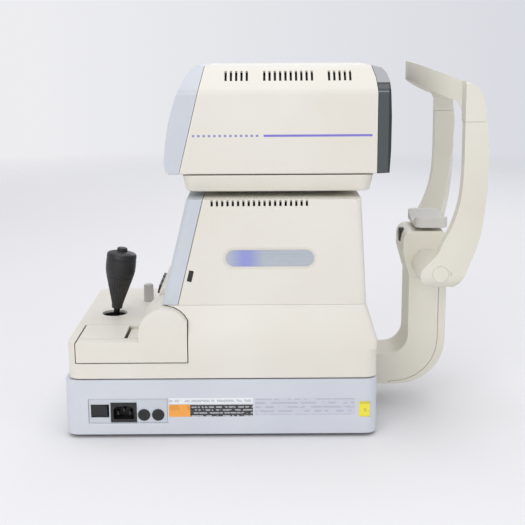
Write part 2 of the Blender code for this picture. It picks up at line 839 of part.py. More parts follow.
# The foot ball has to clear the friction plate when the stick stands upright.
FRICTION_PLATE = 0.001
foot_reach = pivot_place.z - (BASE_TOP + GAP + FRICTION_PLATE) - FOOT_BALL - 0.0005
stem_axis = body("joystick_stem", pivot_place, gimbal_axis)
stem = rod("joystick_stem", on_stick(-foot_reach), on_stick(0.076), STEM_RADIUS, STEEL)
ball = add("stem_ball", bpy.data.meshes.new("stem_ball"), None)
foot_ball = add("stem_foot", bpy.data.meshes.new("stem_foot"), None)
for obj, radius, place in ((ball, BALL_RADIUS, pivot_place), (foot_ball, FOOT_BALL, on_stick(-foot_reach))):
    solid = bmesh.new()
    bmesh.ops.create_uvsphere(solid, u_segments=16, v_segments=10, radius=radius)
    solid.to_mesh(obj.data)
    solid.free()
    obj.location = place
pin_reach = Vector((GIMBAL_INNER - GAP, 0, 0))
cross_pin = rod("stem_pin", pivot_place - pin_reach, pivot_place + pin_reach, PIVOT_PIN, sides=8)
join(stem, ball, foot_ball, cross_pin)
ride(stem_axis, stem)

grip_axis = body("joystick_grip", pivot_place, stem_axis)
BORE = STEM_RADIUS + FIT
BUTTON_WELL = BUTTON_TOP - 0.014
grip = turned(
    "joystick_grip",
    [
        (BUTTON_RADIUS + FIT, GRIP_RIM + 0.0035),
        (0.0165, GRIP_RIM + 0.0008),
        (0.0187, GRIP_RIM - 0.001),
        (0.0190, GRIP_RIM - 0.022),
        (0.0175, GRIP_RIM - 0.029),
        (0.0120, GRIP_RIM - 0.049),
        (0.0070, GRIP_BOTTOM + 0.004),
        (0.0066, GRIP_BOTTOM),
        (BORE, GRIP_BOTTOM),
        (BORE, BUTTON_WELL),
        (BUTTON_RADIUS + FIT, BUTTON_WELL),
        (BUTTON_RADIUS + FIT, GRIP_RIM + 0.0035),
    ],
    pivot_place,
    stick,
    BLACK,
)
smooth(grip)
ride(grip_axis, grip)

button_axis = body("measure_button", on_stick(BUTTON_TOP), grip_axis)
measure_button = turned(
    "measure_button",
    [(0, 0), (BUTTON_RADIUS - 0.001, 0), (BUTTON_RADIUS, -0.001), (BUTTON_RADIUS, -0.010), (0, -0.010)],
    on_stick(BUTTON_TOP),
    stick,
    BLACK,
)
smooth(measure_button)
ride(button_axis, measure_button)

friction_half = 0.030
box(
    "friction_plate",
    (pivot_place.x - friction_half, -STAGE_TRAVEL_Y - friction_half, BASE_TOP + GAP),
    (pivot_place.x + friction_half, STAGE_TRAVEL_Y + friction_half, BASE_TOP + GAP + FRICTION_PLATE),
    STEEL,
)

# ---- stage lock knob ----------------------------------------------------------------

KNOB_RADIUS = 0.0068
KNOB_HEIGHT = 0.0225
knob_place = Vector((pivot_place.x + 0.037, 0.065, PLATFORM_TOP + GAP))
knob_axis = body("lock_knob", knob_place, stage_axis)
lock_knob = turned(
    "lock_knob",
    [
        (0, KNOB_HEIGHT),
        (KNOB_RADIUS - 0.0016, KNOB_HEIGHT),
        (KNOB_RADIUS - 0.0006, KNOB_HEIGHT - 0.001),
        (KNOB_RADIUS, 0),
        (0.003, 0),
        (0.003, -0.012),
        (0, -0.012),
    ],
    knob_place,
    (0, 0, 1),
    KNOB_GREY,
)
smooth(lock_knob)
ride(knob_axis, lock_knob)
cut(
    stage_casing,
    rod("knob_hole", knob_place - Vector((0, 0, 0.01)), knob_place + Vector((0, 0, 0.01)), 0.003 + FIT),
)

# ---- column: cover and operator's panel ---------------------------------------------


def column_side(left_gap, right_inset, low, high):
    """Side view between the operator's seam and the patient's side."""
    slope = (PATIENT_TOP - PATIENT_BOTTOM) / COLUMN_HEIGHT
    seam = PANEL_DEPTH + left_gap

    def right(z):
        return PATIENT_BOTTOM + (z - SKIRT_TOP) * slope - right_inset

    return [
        Vector((operator_side(low) + seam, low)),
        Vector((right(low), low)),
        Vector((right(high), high)),
        Vector((operator_side(high) + seam, high)),
    ]


def leaning(front, back, low, high):
    """A side-view strip along the operator's side, front and back counted from its face."""
    corners = ((front, low), (back, low), (back, high), (front, high))
    return [Vector((operator_side(z) + x, z)) for x, z in corners]


def column_piece(name, outline, inset, paint=None):
    """An outline in side view, as wide as the column, with round vertical corners."""
    piece = prism(name, outline, "Y", -column_half + inset, column_half - inset, paint)
    return piece


below = COLUMN_BOTTOM - 2 * COLUMN_CORNER  # outlines run past the seam, so its edge stays sharp
seam_overrun = 0.02
column_cover = column_piece(
    "column_cover", column_side(SEAM / 4 - seam_overrun, 0.0, below, COLUMN_TOP), 0.0, CREAM
)
bevel_upright(column_cover, COLUMN_CORNER)
neck_left = operator_side(COLUMN_TOP) + 0.045
neck_right = PATIENT_TOP - 0.031
NECK_HALF = 0.055
NECK_LENGTH = 0.053
cut(
    column_cover,
    column_piece("column_inside", column_side(-0.03, WALL, below - 0.01, COLUMN_TOP - WALL), WALL),
    box(
        "neck_opening",
        (neck_left - 0.001, -NECK_HALF - 0.001, COLUMN_TOP - 0.02),
        (neck_right + 0.001, NECK_HALF + 0.001, COLUMN_TOP + 0.02),
    ),
    column_piece(
        "cover_seam_trim", leaning(-0.05, PANEL_DEPTH + SEAM / 4, below - 0.01, COLUMN_TOP + 0.01), -0.01
    ),
    box("cover_lower_trim", (BASE_LEFT, -WIDTH, below - 0.02), (BASE_RIGHT + 0.1, WIDTH, COLUMN_BOTTOM)),
)

panel_back = PANEL_DEPTH - SEAM / 4
panel_outline = leaning(0.0, panel_back + 0.02, below, COLUMN_TOP)
operator_panel = column_piece("operator_panel", panel_outline, 0.0, PALE_BLUE)
bevel_upright(operator_panel, COLUMN_CORNER)
cut(
    operator_panel,
    column_piece("panel_inside", leaning(WALL, 0.06, below - 0.01, COLUMN_TOP - WALL), WALL),
    column_piece("panel_back_trim", leaning(panel_back, 0.08, below - 0.01, COLUMN_TOP + 0.01), -0.01),
    box("panel_lower_trim", (BASE_LEFT, -WIDTH, below - 0.02), (BASE_RIGHT, WIDTH, COLUMN_BOTTOM)),
)

VENT_WIDTH = 0.0027
VENT_HEIGHT = 0.0071
VENT_PITCH = 0.00605
COLUMN_VENTS = 19
vent_top = COLUMN_TOP - 0.0006
vent_start = operator_side(COLUMN_TOP) + PANEL_DEPTH + 0.009
for number in range(COLUMN_VENTS):
    x = vent_start + number * VENT_PITCH
    if x > PATIENT_TOP - 0.012:
        break
    for side in (-1, 1):
        outer, inner = side * (column_half + 0.005), side * (column_half - WALL - 0.001)
        vent = box(
            f"column_vent_{number}_{side}",
            (x, min(outer, inner), vent_top - VENT_HEIGHT),
            (x + VENT_WIDTH, max(outer, inner), vent_top),
        )
        cut(column_cover, vent)

# ---- badge --------------------------------------------------------------------------

BADGE_LENGTH = 0.108
BADGE_HEIGHT = 0.025
BADGE_BORDER = 0.003
BADGE_DEPTH = 0.0012
badge_x = (operator_side(COLUMN_TOP) + PATIENT_TOP) / 2 - 0.005
badge_z = SKIRT_TOP + 0.0555
cut(
    column_cover,
    prism(
        "badge_recess",
        stadium(badge_x, badge_z, BADGE_LENGTH, BADGE_HEIGHT),
        "Y",
        -WIDTH,
        -column_half + BADGE_DEPTH,
    ),
)
badge_plate = prism(
    "badge_plate",
    stadium(badge_x, badge_z, BADGE_LENGTH - 2 * BADGE_BORDER, BADGE_HEIGHT - 2 * BADGE_BORDER),
    "Y",
    -column_half + GAP,
    -column_half + BADGE_DEPTH - GAP,
    BADGE_GREY,
)

# ---- brightness dial ----------------------------------------------------------------

DIAL_RADIUS = 0.0100
DIAL_WIDTH = 0.0045
DIAL_SHOWS = 0.0012
DIAL_SLOT = 0.0135
dial_z = SKIRT_TOP + 0.0347
dial_place = Vector(
    (operator_side(dial_z) + PANEL_DEPTH + 0.0065, -column_half - DIAL_SHOWS + DIAL_RADIUS, dial_z)
)
dial_way = Vector((math.cos(LEAN), 0, -math.sin(LEAN)))
dial_axis = body("brightness_dial", dial_place, stage_axis)
brightness_dial = rod(
    "brightness_dial",
    dial_place - dial_way * DIAL_WIDTH / 2,
    dial_place + dial_way * DIAL_WIDTH / 2,
    DIAL_RADIUS,
    BLACK,
    sides=24,
)
ride(dial_axis, brightness_dial)
dial_slot = box(
    "dial_slot",
    (-DIAL_WIDTH / 2 - FIT, -0.01, -DIAL_SLOT / 2),
    (DIAL_WIDTH / 2 + FIT, 0.01, DIAL_SLOT / 2),
)
dial_relief = box(
    "dial_relief",
    (-DIAL_WIDTH / 2 - FIT, 0.001, -DIAL_RADIUS - 2 * FIT),
    (DIAL_WIDTH / 2 + FIT, 0.01, DIAL_RADIUS + 2 * FIT),
)
for tool in (dial_slot, dial_relief):
    face = Matrix.Translation((dial_place.x, -column_half, dial_z)) @ Matrix.Rotation(LEAN, 4, "Y")
    tool.matrix_world = face @ Matrix.Translation(tool.location)
    cut(column_cover, tool)

# ---- key console --------------------------------------------------------------------

CONSOLE_DEPTH = 0.008
CONSOLE_RISE = 0.0065
KEYS = 3
KEY_WIDTH = 0.020
KEY_HEIGHT = 0.011
KEY_PITCH = 0.026
KEY_DEPTH = 0.005
KEY_SHOWS = 0.0012
console_near = cover_far + COVER_GAP + 0.0035 + 0.002
console_far = console_near + 0.132
console_low = PLATFORM_TOP + GAP
console_high = SKIRT_TOP + CONSOLE_RISE
console_gap = 0.0006
key_console = prism(
    "key_console",
    [
        Vector((operator_side(console_low) - console_gap - CONSOLE_DEPTH, console_low)),
        Vector((operator_side(console_low) - console_gap, console_low)),
        Vector((operator_side(console_high) - console_gap, console_high)),
        Vector((operator_side(console_high) - console_gap - CONSOLE_DEPTH + 0.003, console_high)),
        Vector((operator_side(console_high - 0.003) - console_gap - CONSOLE_DEPTH, console_high - 0.003)),
    ],
    "Y",
    console_near,
    console_far,
    CREAM,
)
key_z = console_high - 0.010
key_out = Vector((-math.cos(LEAN), 0, math.sin(LEAN)))
key_face_x = operator_side(key_z) - console_gap - CONSOLE_DEPTH
for number in range(KEYS):
    y = (console_near + console_far) / 2 + (number - (KEYS - 1) / 2) * KEY_PITCH
    face = Vector((key_face_x, y, key_z)) + key_out * KEY_SHOWS
    turn = Matrix.Translation(face) @ Matrix.Rotation(LEAN, 4, "Y")
    key_axis = body(f"key_{number + 1}", face, stage_axis)
    key_low = (0, -KEY_WIDTH / 2, -KEY_HEIGHT / 2)
    key = box(f"key_{number + 1}", key_low, (KEY_DEPTH, KEY_WIDTH / 2, KEY_HEIGHT / 2), BLACK)
    key.matrix_world = turn @ key.matrix_world
    bevel(key, 0.0006, 1)
    ride(key_axis, key)
    pocket = box(
        f"key_pocket_{number}",
        (-0.01, -KEY_WIDTH / 2 - FIT, -KEY_HEIGHT / 2 - FIT),
        (KEY_DEPTH + 0.0012, KEY_WIDTH / 2 + FIT, KEY_HEIGHT / 2 + FIT),
    )
    pocket.matrix_world = turn @ pocket.matrix_world
    cut(key_console, pocket)

# ---- lift inside the column ---------------------------------------------------------

MOTOR_SIZE = 0.042
MOTOR_HEIGHT = 0.045
SCREW_RADIUS = 0.004
SHAFT_RADIUS = 0.006
screw_x = (neck_left + neck_right) / 2 + 0.022
shaft_x = (neck_left + neck_right) / 2 - 0.022
motor_low = chassis_top + GAP
lift_top = TRAY_BOTTOM - HEAD_DROP - 0.002
lift_motor = box(
    "lift_motor",
    (screw_x - MOTOR_SIZE / 2, -MOTOR_SIZE / 2, motor_low),
    (screw_x + MOTOR_SIZE / 2, MOTOR_SIZE / 2, motor_low + MOTOR_HEIGHT),
    BLACK,
    0.003,
)
screw_low = motor_low + MOTOR_HEIGHT + 0.0005
screw_axis = body("lift_screw", (screw_x, 0, screw_low), stage_axis)
lift_screw = rod("lift_screw", (screw_x, 0, screw_low), (screw_x, 0, lift_top), SCREW_RADIUS, STEEL)
ride(screw_axis, lift_screw)
lift_shaft = rod("lift_shaft", (shaft_x, 0, chassis_top + GAP), (shaft_x, 0, lift_top), SHAFT_RADIUS, STEEL)

board_y = column_half - WALL - 0.012
main_board = box(
    "main_board",
    (operator_side(SKIRT_TOP) + 0.070, board_y - 0.0016, SKIRT_TOP + 0.010),
    (PATIENT_TOP - 0.030, board_y, SKIRT_TOP + 0.085),
    BOARD_GREEN,
)

ride(
    stage_axis,
    stage_casing,
    stage_chassis,
    column_cover,
    operator_panel,
    badge_plate,
    key_console,
    printer_frame,
    joystick_socket,
    lift_motor,
    lift_shaft,
    main_board,
)

# ---- head: neck, tray, casings ------------------------------------------------------

head_axis = body("head", ((neck_left + neck_right) / 2, 0, TRAY_BOTTOM), stage_axis)
head_half = HEAD_WIDTH / 2
TRAY_CORNER = 0.016

head_neck = box(
    "head_neck",
    (neck_left, -NECK_HALF, TRAY_BOTTOM - NECK_LENGTH),
    (neck_right, NECK_HALF, TRAY_BOTTOM - GAP),
    ALUMINIUM,
)
for name, x, radius in (("screw_bore", screw_x, SCREW_RADIUS), ("shaft_bore", shaft_x, SHAFT_RADIUS)):
    cut(
        head_neck,
        rod(name, (x, 0, TRAY_BOTTOM - NECK_LENGTH - 0.01), (x, 0, TRAY_BOTTOM + 0.01), radius + FIT, sides=16),
    )
for side in (-1, 1):
    cut(
        head_neck,
        box(
            f"neck_lightening_{side}",
            (neck_left + 0.008, side * 0.032 - 0.018, TRAY_BOTTOM - NECK_LENGTH - 0.01),
            (neck_right - 0.008, side * 0.032 + 0.018, TRAY_BOTTOM - 0.006),
        ),
    )

tray_left = HEAD_BACK + 0.0205
tray_right = HEAD_FRONT - 0.0186
head_tray = prism(
    "head_tray",
    plan(tray_left, tray_right, head_half + 0.001, TRAY_CORNER),
    "Z",
    TRAY_BOTTOM,
    TRAY_TOP,
    CREAM,
    (0.965, 0.955),
)
bevel(head_tray, 0.003, 2, 50)
cut(
    head_tray,
    prism(
        "tray_inside",
        plan(tray_left + 0.006, tray_right - 0.006, head_half - 0.007, TRAY_CORNER - 0.004),
        "Z",
        TRAY_BOTTOM + WALL,
        TRAY_TOP + 0.01,
    ),
)

CHAMFER_WIDTH = 0.025
CHAMFER_HEIGHT = 0.0285


def head_section(inset):
    """Front view of the head: upright sides, chamfered shoulders, flat top."""
    low = HEAD_BOTTOM + inset
    wide = head_half - inset
    flat = wide - CHAMFER_WIDTH + inset / 2
    shoulder = HEAD_TOP - CHAMFER_HEIGHT - inset / 2
    right = [(wide, low, 0.002), (wide, shoulder, 0.012), (flat, HEAD_TOP - inset, 0.010)]
    left = [(-u, v, r) for u, v, r in reversed(right)]
    return rounded(right + left, 3)


def head_side(x, z_up):
    """A point of the side view: x from the head's lower operator corner, z from its bottom."""
    return Vector((HEAD_BACK + x, HEAD_BOTTOM + z_up))


def operator_seam(z_up):
    """X of the seam between the bezel and the cover."""
    return HEAD_BACK + 0.0172 + z_up * RISE


def front_seam(z_up):
    """X of the seam between the cover and the front panel, drawn in near the top."""
    drawn_in = max(0.0, z_up - 0.093) / (HEAD_HEIGHT - 0.093)
    return HEAD_FRONT - 0.0157 - 0.0060 * drawn_in**2


def head_piece(name, outline, low_inset=0.0, paint=None):
    """A side-view outline that keeps the head's section."""
    piece = prism(name, outline, "Y", -head_half - 0.002, head_half + 0.002, paint)
    section = prism(name + "_section", head_section(low_inset), "X", HEAD_BACK - 0.02, HEAD_FRONT + 0.02)
    return boolean(piece, section, "INTERSECT")


FRONT_HEIGHTS = (0.0, 0.093, 0.108, HEAD_HEIGHT)


def cover_side(seam_gap, low, high):
    left = [Vector((operator_seam(z) + seam_gap, HEAD_BOTTOM + z)) for z in (high, low)]
    right = [Vector((front_seam(z) - seam_gap, HEAD_BOTTOM + z)) for z in FRONT_HEIGHTS if low <= z <= high]
    if low < 0:
        right.insert(0, Vector((front_seam(0) - seam_gap, HEAD_BOTTOM + low)))
    if high > HEAD_HEIGHT:
        right.append(Vector((front_seam(HEAD_HEIGHT) - seam_gap, HEAD_BOTTOM + high)))
    return left + right


head_cover = head_piece("head_cover", cover_side(SEAM / 4, 0.0, HEAD_HEIGHT), paint=CREAM)
cover_room = prism("head_cover_room", head_section(WALL), "X", HEAD_BACK - 0.02, HEAD_FRONT + 0.02)
cut(
    head_cover,
    cover_room,
    box(
        "head_cover_floor",
        (HEAD_BACK - 0.02, -head_half + WALL, HEAD_BOTTOM - 0.01),
        (HEAD_FRONT + 0.02, head_half - WALL, HEAD_BOTTOM + 0.02),
    ),
)

bezel_back = [
    (0.0326, 0.1200),
    (0.0245, 0.1095),
    (0.0150, 0.0885),
    (0.0065, 0.0605),
    (0.0022, 0.0360),
    (0.0, 0.0130),
    (0.0018, 0.0030),
    (0.0055, 0.0),
]
bezel_outline = [head_side(x, z) for x, z in bezel_back]
bezel_outline += [
    Vector((operator_seam(0) - SEAM / 4, HEAD_BOTTOM)),
    Vector((operator_seam(HEAD_HEIGHT) - SEAM / 4, HEAD_TOP)),
    Vector((operator_seam(HEAD_HEIGHT) - SEAM / 4 - 0.008, HEAD_TOP)),
]
operator_bezel = head_piece("operator_bezel", bezel_outline, paint=PALE_BLUE)

SCREEN_WIDTH = 0.122
SCREEN_HEIGHT = 0.092
SCREEN_THICK = 0.003
screen_tilt = Matrix.Rotation(LEAN, 4, "Y")
screen_middle = head_side(0.0175, 0.0615)
screen_place = Matrix.Translation((screen_middle.x, 0, screen_middle.y)) @ screen_tilt


def screen_box(name, margin, near_face, back_face, paint=None):
    """A block parallel to the screen: near_face and back_face count from its glass."""
    half_w = SCREEN_WIDTH / 2 + margin
    half_h = SCREEN_HEIGHT / 2 + margin
    block = box(name, (near_face, -half_w, -half_h), (back_face, half_w, half_h), paint)
    block.matrix_world = screen_place @ block.matrix_world
    return block


cut(
    operator_bezel,
    screen_box("screen_recess", 0.004, -0.03, 0.0 - GAP),
    screen_box("screen_seat", GAP, -0.005, SCREEN_THICK + GAP),
    box(
        "bezel_room",
        (HEAD_BACK + 0.035, -head_half + 2 * WALL, HEAD_BOTTOM + 0.020),
        (HEAD_BACK + 0.10, head_half - 2 * WALL, HEAD_TOP - 0.034),
    ),
)
screen = screen_box("screen", 0.0, 0.0, SCREEN_THICK, DARK_GLASS)

front_outline = [Vector((front_seam(z) + SEAM / 4, HEAD_BOTTOM + z)) for z in reversed(FRONT_HEIGHTS)]
front_outline += [
    Vector((HEAD_FRONT + x, HEAD_BOTTOM + z))
    for x, z in (
        (-0.0015, 0.0008),
        (-0.0001, 0.0275),
        (0.0, 0.0650),
        (-0.0017, 0.1040),
        (-0.0047, 0.1133),
        (-0.0104, 0.1197),
    )
]
front_panel = head_piece("front_panel", front_outline, paint=CHARCOAL)
WINDOW_RADIUS = 0.030
OPTICAL_AXIS = HEAD_BOTTOM + 0.054
front_wall = 0.004
front_room = box(
    "front_room",
    (HEAD_FRONT - 0.05, -head_half + 2 * WALL, HEAD_BOTTOM + 0.004),
    (HEAD_FRONT - front_wall - 0.0015, head_half - 2 * WALL, HEAD_TOP - 0.034),
)
cut(
    front_panel,
    front_room,
    rod(
        "window_hole",
        (HEAD_FRONT - 0.03, 0, OPTICAL_AXIS),
        (HEAD_FRONT + 0.02, 0, OPTICAL_AXIS),
        WINDOW_RADIUS,
        sides=32,
    ),
)
window_x = HEAD_FRONT - 0.0045
window_glass = rod(
    "window_glass",
    (window_x, 0, OPTICAL_AXIS),
    (window_x + 0.002, 0, OPTICAL_AXIS),
    WINDOW_RADIUS - GAP,
    DARK_GLASS,
    sides=32,
)

HEAD_VENT_LENGTH = 0.011
vent_groups = ((0.0708, 5), (0.1150, 10), (0.1890, 5))
vent_limit = HEAD_FRONT - 0.034
vent_z = HEAD_TOP - CHAMFER_HEIGHT / 2
vent_y = head_half - CHAMFER_WIDTH / 2
vent_number = 0
for start, count in vent_groups:
    for number in range(count):
        x = HEAD_BACK + start + number * VENT_PITCH
        if x > vent_limit:
            continue
        for side in (-1, 1):
            vent = box(
                f"head_vent_{vent_number}",
                (x, side * vent_y - 0.010, vent_z - HEAD_VENT_LENGTH / 2 + 0.003),
                (x + VENT_WIDTH, side * vent_y + 0.010, vent_z + HEAD_VENT_LENGTH / 2 + 0.003),
            )
            vent_number += 1
            cut(head_cover, vent)

# ---- optics -------------------------------------------------------------------------

bench_low = HEAD_BOTTOM + 0.004
BENCH_THICK = 0.004
optical_bench = box(
    "optical_bench",
    (HEAD_BACK + 0.060, -head_half + 0.020, bench_low),
    (HEAD_FRONT - 0.022, head_half - 0.020, bench_low + BENCH_THICK),
    ALUMINIUM,
)
TUBE_RADIUS = 0.024
TUBE_LENGTH = 0.110
tube_front = HEAD_FRONT - 0.012
optical_tube = turned(
    "optical_tube",
    [
        (TUBE_RADIUS - 0.003, 0),
        (TUBE_RADIUS, 0),
        (TUBE_RADIUS, -0.035),
        (TUBE_RADIUS - 0.005, -0.045),
        (TUBE_RADIUS - 0.005, -TUBE_LENGTH),
        (TUBE_RADIUS - 0.008, -TUBE_LENGTH),
        (TUBE_RADIUS - 0.008, -0.045),
        (TUBE_RADIUS - 0.003, 0),
    ],
    (tube_front, 0, OPTICAL_AXIS),
    (1, 0, 0),
    BLACK,
)
ride(
    head_axis,
    head_neck,
    head_tray,
    head_cover,
    operator_bezel,
    screen,
    front_panel,
    window_glass,
    optical_bench,
    optical_tube,
)

# ---- headrest: arm, frame, forehead band --------------------------------------------

ARM_HALF = 0.0316
ARM_INNER = LENGTH / 2 - 0.076
ARM_OUTER = LENGTH / 2 - 0.0292
ARM_LOW = 0.030
ARM_HIGH = 0.0695
ARM_OUTER_BEND = 0.058
ARM_INNER_BEND = 0.025
ARM_COVER = 0.0095
ARM_COVER_FOOT = 0.0035
ARM_SEAM = 0.0004
ARM_SHELL = 0.004
FRAME_BOTTOM = 0.172

arm_top = FRAME_BOTTOM - GAP
arm_root = BASE_RIGHT + GAP
cover_edge = ARM_OUTER - ARM_COVER
cover_start = arm_root + 0.026
headrest_arm = prism(
    "headrest_arm",
    rounded(
        [
            (arm_root, ARM_LOW, 0),
            (cover_start - ARM_SEAM, ARM_LOW, 0),
            (cover_start - ARM_SEAM, ARM_LOW + ARM_COVER_FOOT + ARM_SEAM, 0),
            (cover_edge - ARM_SEAM, ARM_LOW + ARM_COVER_FOOT + ARM_SEAM, ARM_OUTER_BEND - ARM_COVER_FOOT),
            (cover_edge - ARM_SEAM, arm_top, 0),
            (ARM_INNER, arm_top, 0),
            (ARM_INNER, ARM_HIGH, ARM_INNER_BEND),
            (arm_root, ARM_HIGH, 0),
        ],
        6,
    ),
    "Y",
    -ARM_HALF,
    ARM_HALF,
    BEIGE,
)
cut(
    headrest_arm,
    prism(
        "arm_channel",
        rounded(
            [
                (cover_start + 0.004, ARM_LOW - 0.01, 0),
                (cover_edge + 0.02, ARM_LOW - 0.01, 0),
                (cover_edge + 0.02, arm_top - 0.020, 0),
                (ARM_INNER + ARM_SHELL, arm_top - 0.020, 0),
                (ARM_INNER + ARM_SHELL, ARM_HIGH - ARM_SHELL, ARM_INNER_BEND + ARM_SHELL),
                (cover_start + 0.004, ARM_HIGH - ARM_SHELL, 0),
            ],
            6,
        ),
        "Y",
        -ARM_HALF + ARM_SHELL,
        ARM_HALF - ARM_SHELL,
    ),
)
prism(
    "arm_cover",
    rounded(
        [
            (cover_start, ARM_LOW, 0),
            (ARM_OUTER, ARM_LOW, ARM_OUTER_BEND),
            (ARM_OUTER, arm_top, 0),
            (cover_edge, arm_top, 0),
            (cover_edge, ARM_LOW + ARM_COVER_FOOT, ARM_OUTER_BEND - ARM_COVER_FOOT),
            (cover_start, ARM_LOW + ARM_COVER_FOOT, 0),
        ],
        6,
    ),
    "Y",
    -ARM_HALF,
    ARM_HALF,
    BEIGE,
)

POST_OUTER = 0.113
POST_INNER = 0.095
BAND_SEAM = 0.367
BEAM_TOP = 0.205
HUB_TOP = 0.228
HUB_HALF = 0.036
back = LENGTH / 2


def from_back(points):
    """Side-view points (distance in front of the posts' back, height)."""
    return [Vector((back - x, z)) for x, z in points]


post_back = ((0.0035, BAND_SEAM), (0.0005, 0.3355), (0.0, 0.3069), (0.0012, 0.2781), (0.0060, 0.2372))
post_back += ((0.0153, 0.2077), (0.0249, 0.1839), (0.0339, FRAME_BOTTOM))
post_front = ((0.0550, FRAME_BOTTOM), (0.0692, 0.1770), (0.0745, 0.1860), (0.0720, 0.1960), (0.0562, 0.2127))
post_front += ((0.0485, 0.2292), (0.0398, 0.2457), (0.0315, 0.2725), (0.0281, 0.3071), (0.0283, BAND_SEAM))
post_side = flowing(from_back(post_back)) + flowing(from_back(post_front))
headrest_frame = prism("headrest_frame", post_side, "Y", -POST_OUTER, POST_OUTER, BEIGE)
u_shape = rounded(
    [
        (-POST_OUTER - 0.001, BAND_SEAM + 0.01, 0),
        (-POST_OUTER, FRAME_BOTTOM - 0.0005, 0.020),
        (POST_OUTER, FRAME_BOTTOM - 0.0005, 0.020),
        (POST_OUTER + 0.001, BAND_SEAM + 0.01, 0),
        (POST_INNER, BAND_SEAM + 0.01, 0),
        (POST_INNER, BEAM_TOP, 0.014),
        (-POST_INNER, BEAM_TOP, 0.014),
        (-POST_INNER, BAND_SEAM + 0.01, 0),
    ],
    5,
)
boolean(headrest_frame, prism("frame_front_view", u_shape, "X", back - 0.10, back + 0.02), "INTERSECT")

# The posts' backs slant forward towards the inside, most of all just over the chin.
BACK_SLANT = ((0.200, 0.0), (0.232, 0.0107), (0.264, 0.0093), (0.298, 0.0076), (0.332, 0.0034), (0.363, 0.0))
SLANT_START = 0.0015  # from the posts' outer sides
SLANT_REACH = 1.4  # how far the cutter runs on past the inner sides
SLANT_CLEAR = 0.0003


def slant_cutter(side):
    """A wedge behind one post, lofted through a ring at each height."""
    outline = sorted((z, x) for x, z in post_back)
    heights = [z for z, _ in outline]
    fronts = [x for _, x in outline]
    near_y = side * (POST_OUTER - SLANT_START)
    far_y = near_y - side * (POST_OUTER - POST_INNER) * SLANT_REACH
    drawn = bmesh.new()
    rings = []
    for z, slant in BACK_SLANT:
        x = back - float(np.interp(z, heights, fronts)) + SLANT_CLEAR
        corners = ((x, near_y), (x - slant * SLANT_REACH, far_y), (back + 0.02, far_y), (back + 0.02, near_y))
        rings.append([drawn.verts.new((*corner, z)) for corner in corners])
    for below, above in zip(rings, rings[1:]):
        for k in range(4):
            after = (k + 1) % 4
            drawn.faces.new((below[k], below[after], above[after], above[k]))
    drawn.faces.new(rings[0])
    drawn.faces.new(rings[-1])
    bmesh.ops.recalc_face_normals(drawn, faces=drawn.faces)
    mesh = bpy.data.meshes.new(f"slant_cutter_{side}")
    drawn.to_mesh(mesh)
    drawn.free()
    return add(f"slant_cutter_{side}", mesh, None)


for side in (-1, 1):
    boolean(headrest_frame, slant_cutter(side), "DIFFERENCE", "MANIFOLD")

hub_front = 0.0845
hub_points = rounded(
    [
        (back - 0.034, FRAME_BOTTOM, 0),
        (back - 0.0335, HUB_TOP, 0.004),
        (back - hub_front, HUB_TOP, 0.012),
        (back - hub_front, 0.200, 0.010),
        (back - hub_front + 0.008, FRAME_BOTTOM, 0),
    ]
)
join(headrest_frame, prism("frame_hub", hub_points, "Y", -HUB_HALF, HUB_HALF))

CAP_RADIUS = 0.0094
CAP_DEPTH = 0.0012
cap_x = back - 0.051
cap_z = 0.1906
for name, side in (("frame_cap_near", -1), ("frame_cap_far", 1)):
    face = side * POST_OUTER
    inside = face - side * CAP_DEPTH
    cut(
        headrest_frame,
        rod(
            name + "_pocket",
            (cap_x, inside, cap_z),
            (cap_x, face + side * 0.01, cap_z),
            CAP_RADIUS + GAP,
            sides=24,
        ),
        box(
            name + "_notch",
            (cap_x + CAP_RADIUS + 0.0018, min(inside, face + side * 0.01), cap_z - 0.0025),
            (cap_x + CAP_RADIUS + 0.0038, max(inside, face + side * 0.01), cap_z + 0.0025),
        ),
    )
    rod(name, (cap_x, inside + side * GAP, cap_z), (cap_x, face, cap_z), CAP_RADIUS, BEIGE, sides=24)

BAND_TOP = 0.4335
BAND_HEIGHT = 0.022
BAND_THICK = 0.014
BAND_CURVE = 0.111  # radius of the band's instrument side
PAD_REACH = 33  # degrees each side of the middle
BAND_FRONT = 0.081  # how far the band's middle stands in front of the posts' back
band_centre = back - BAND_FRONT + BAND_CURVE
forehead_plan = arc(band_centre, 0, BAND_CURVE, 180 - 57.5, 180 + 57.5, 14)
forehead_plan += [Vector((back - 0.0284, -POST_OUTER)), Vector((back, -POST_OUTER))]
forehead_plan += [Vector((back, -POST_INNER + 0.004))]
forehead_plan += arc(band_centre, 0, BAND_CURVE - BAND_THICK, 180 + 2 * PAD_REACH, 180 - 2 * PAD_REACH, 16)
forehead_plan += [Vector((back, POST_INNER - 0.004)), Vector((back, POST_OUTER)), Vector((back - 0.0284, POST_OUTER))]
forehead_band = prism("forehead_band", forehead_plan, "Z", BAND_SEAM + GAP, BAND_TOP + 0.001, BEIGE)


def band_edge(top, drop, y):
    """Height of the band's edge at a distance from the middle."""
    return top - drop * (abs(y) / POST_INNER) ** 2


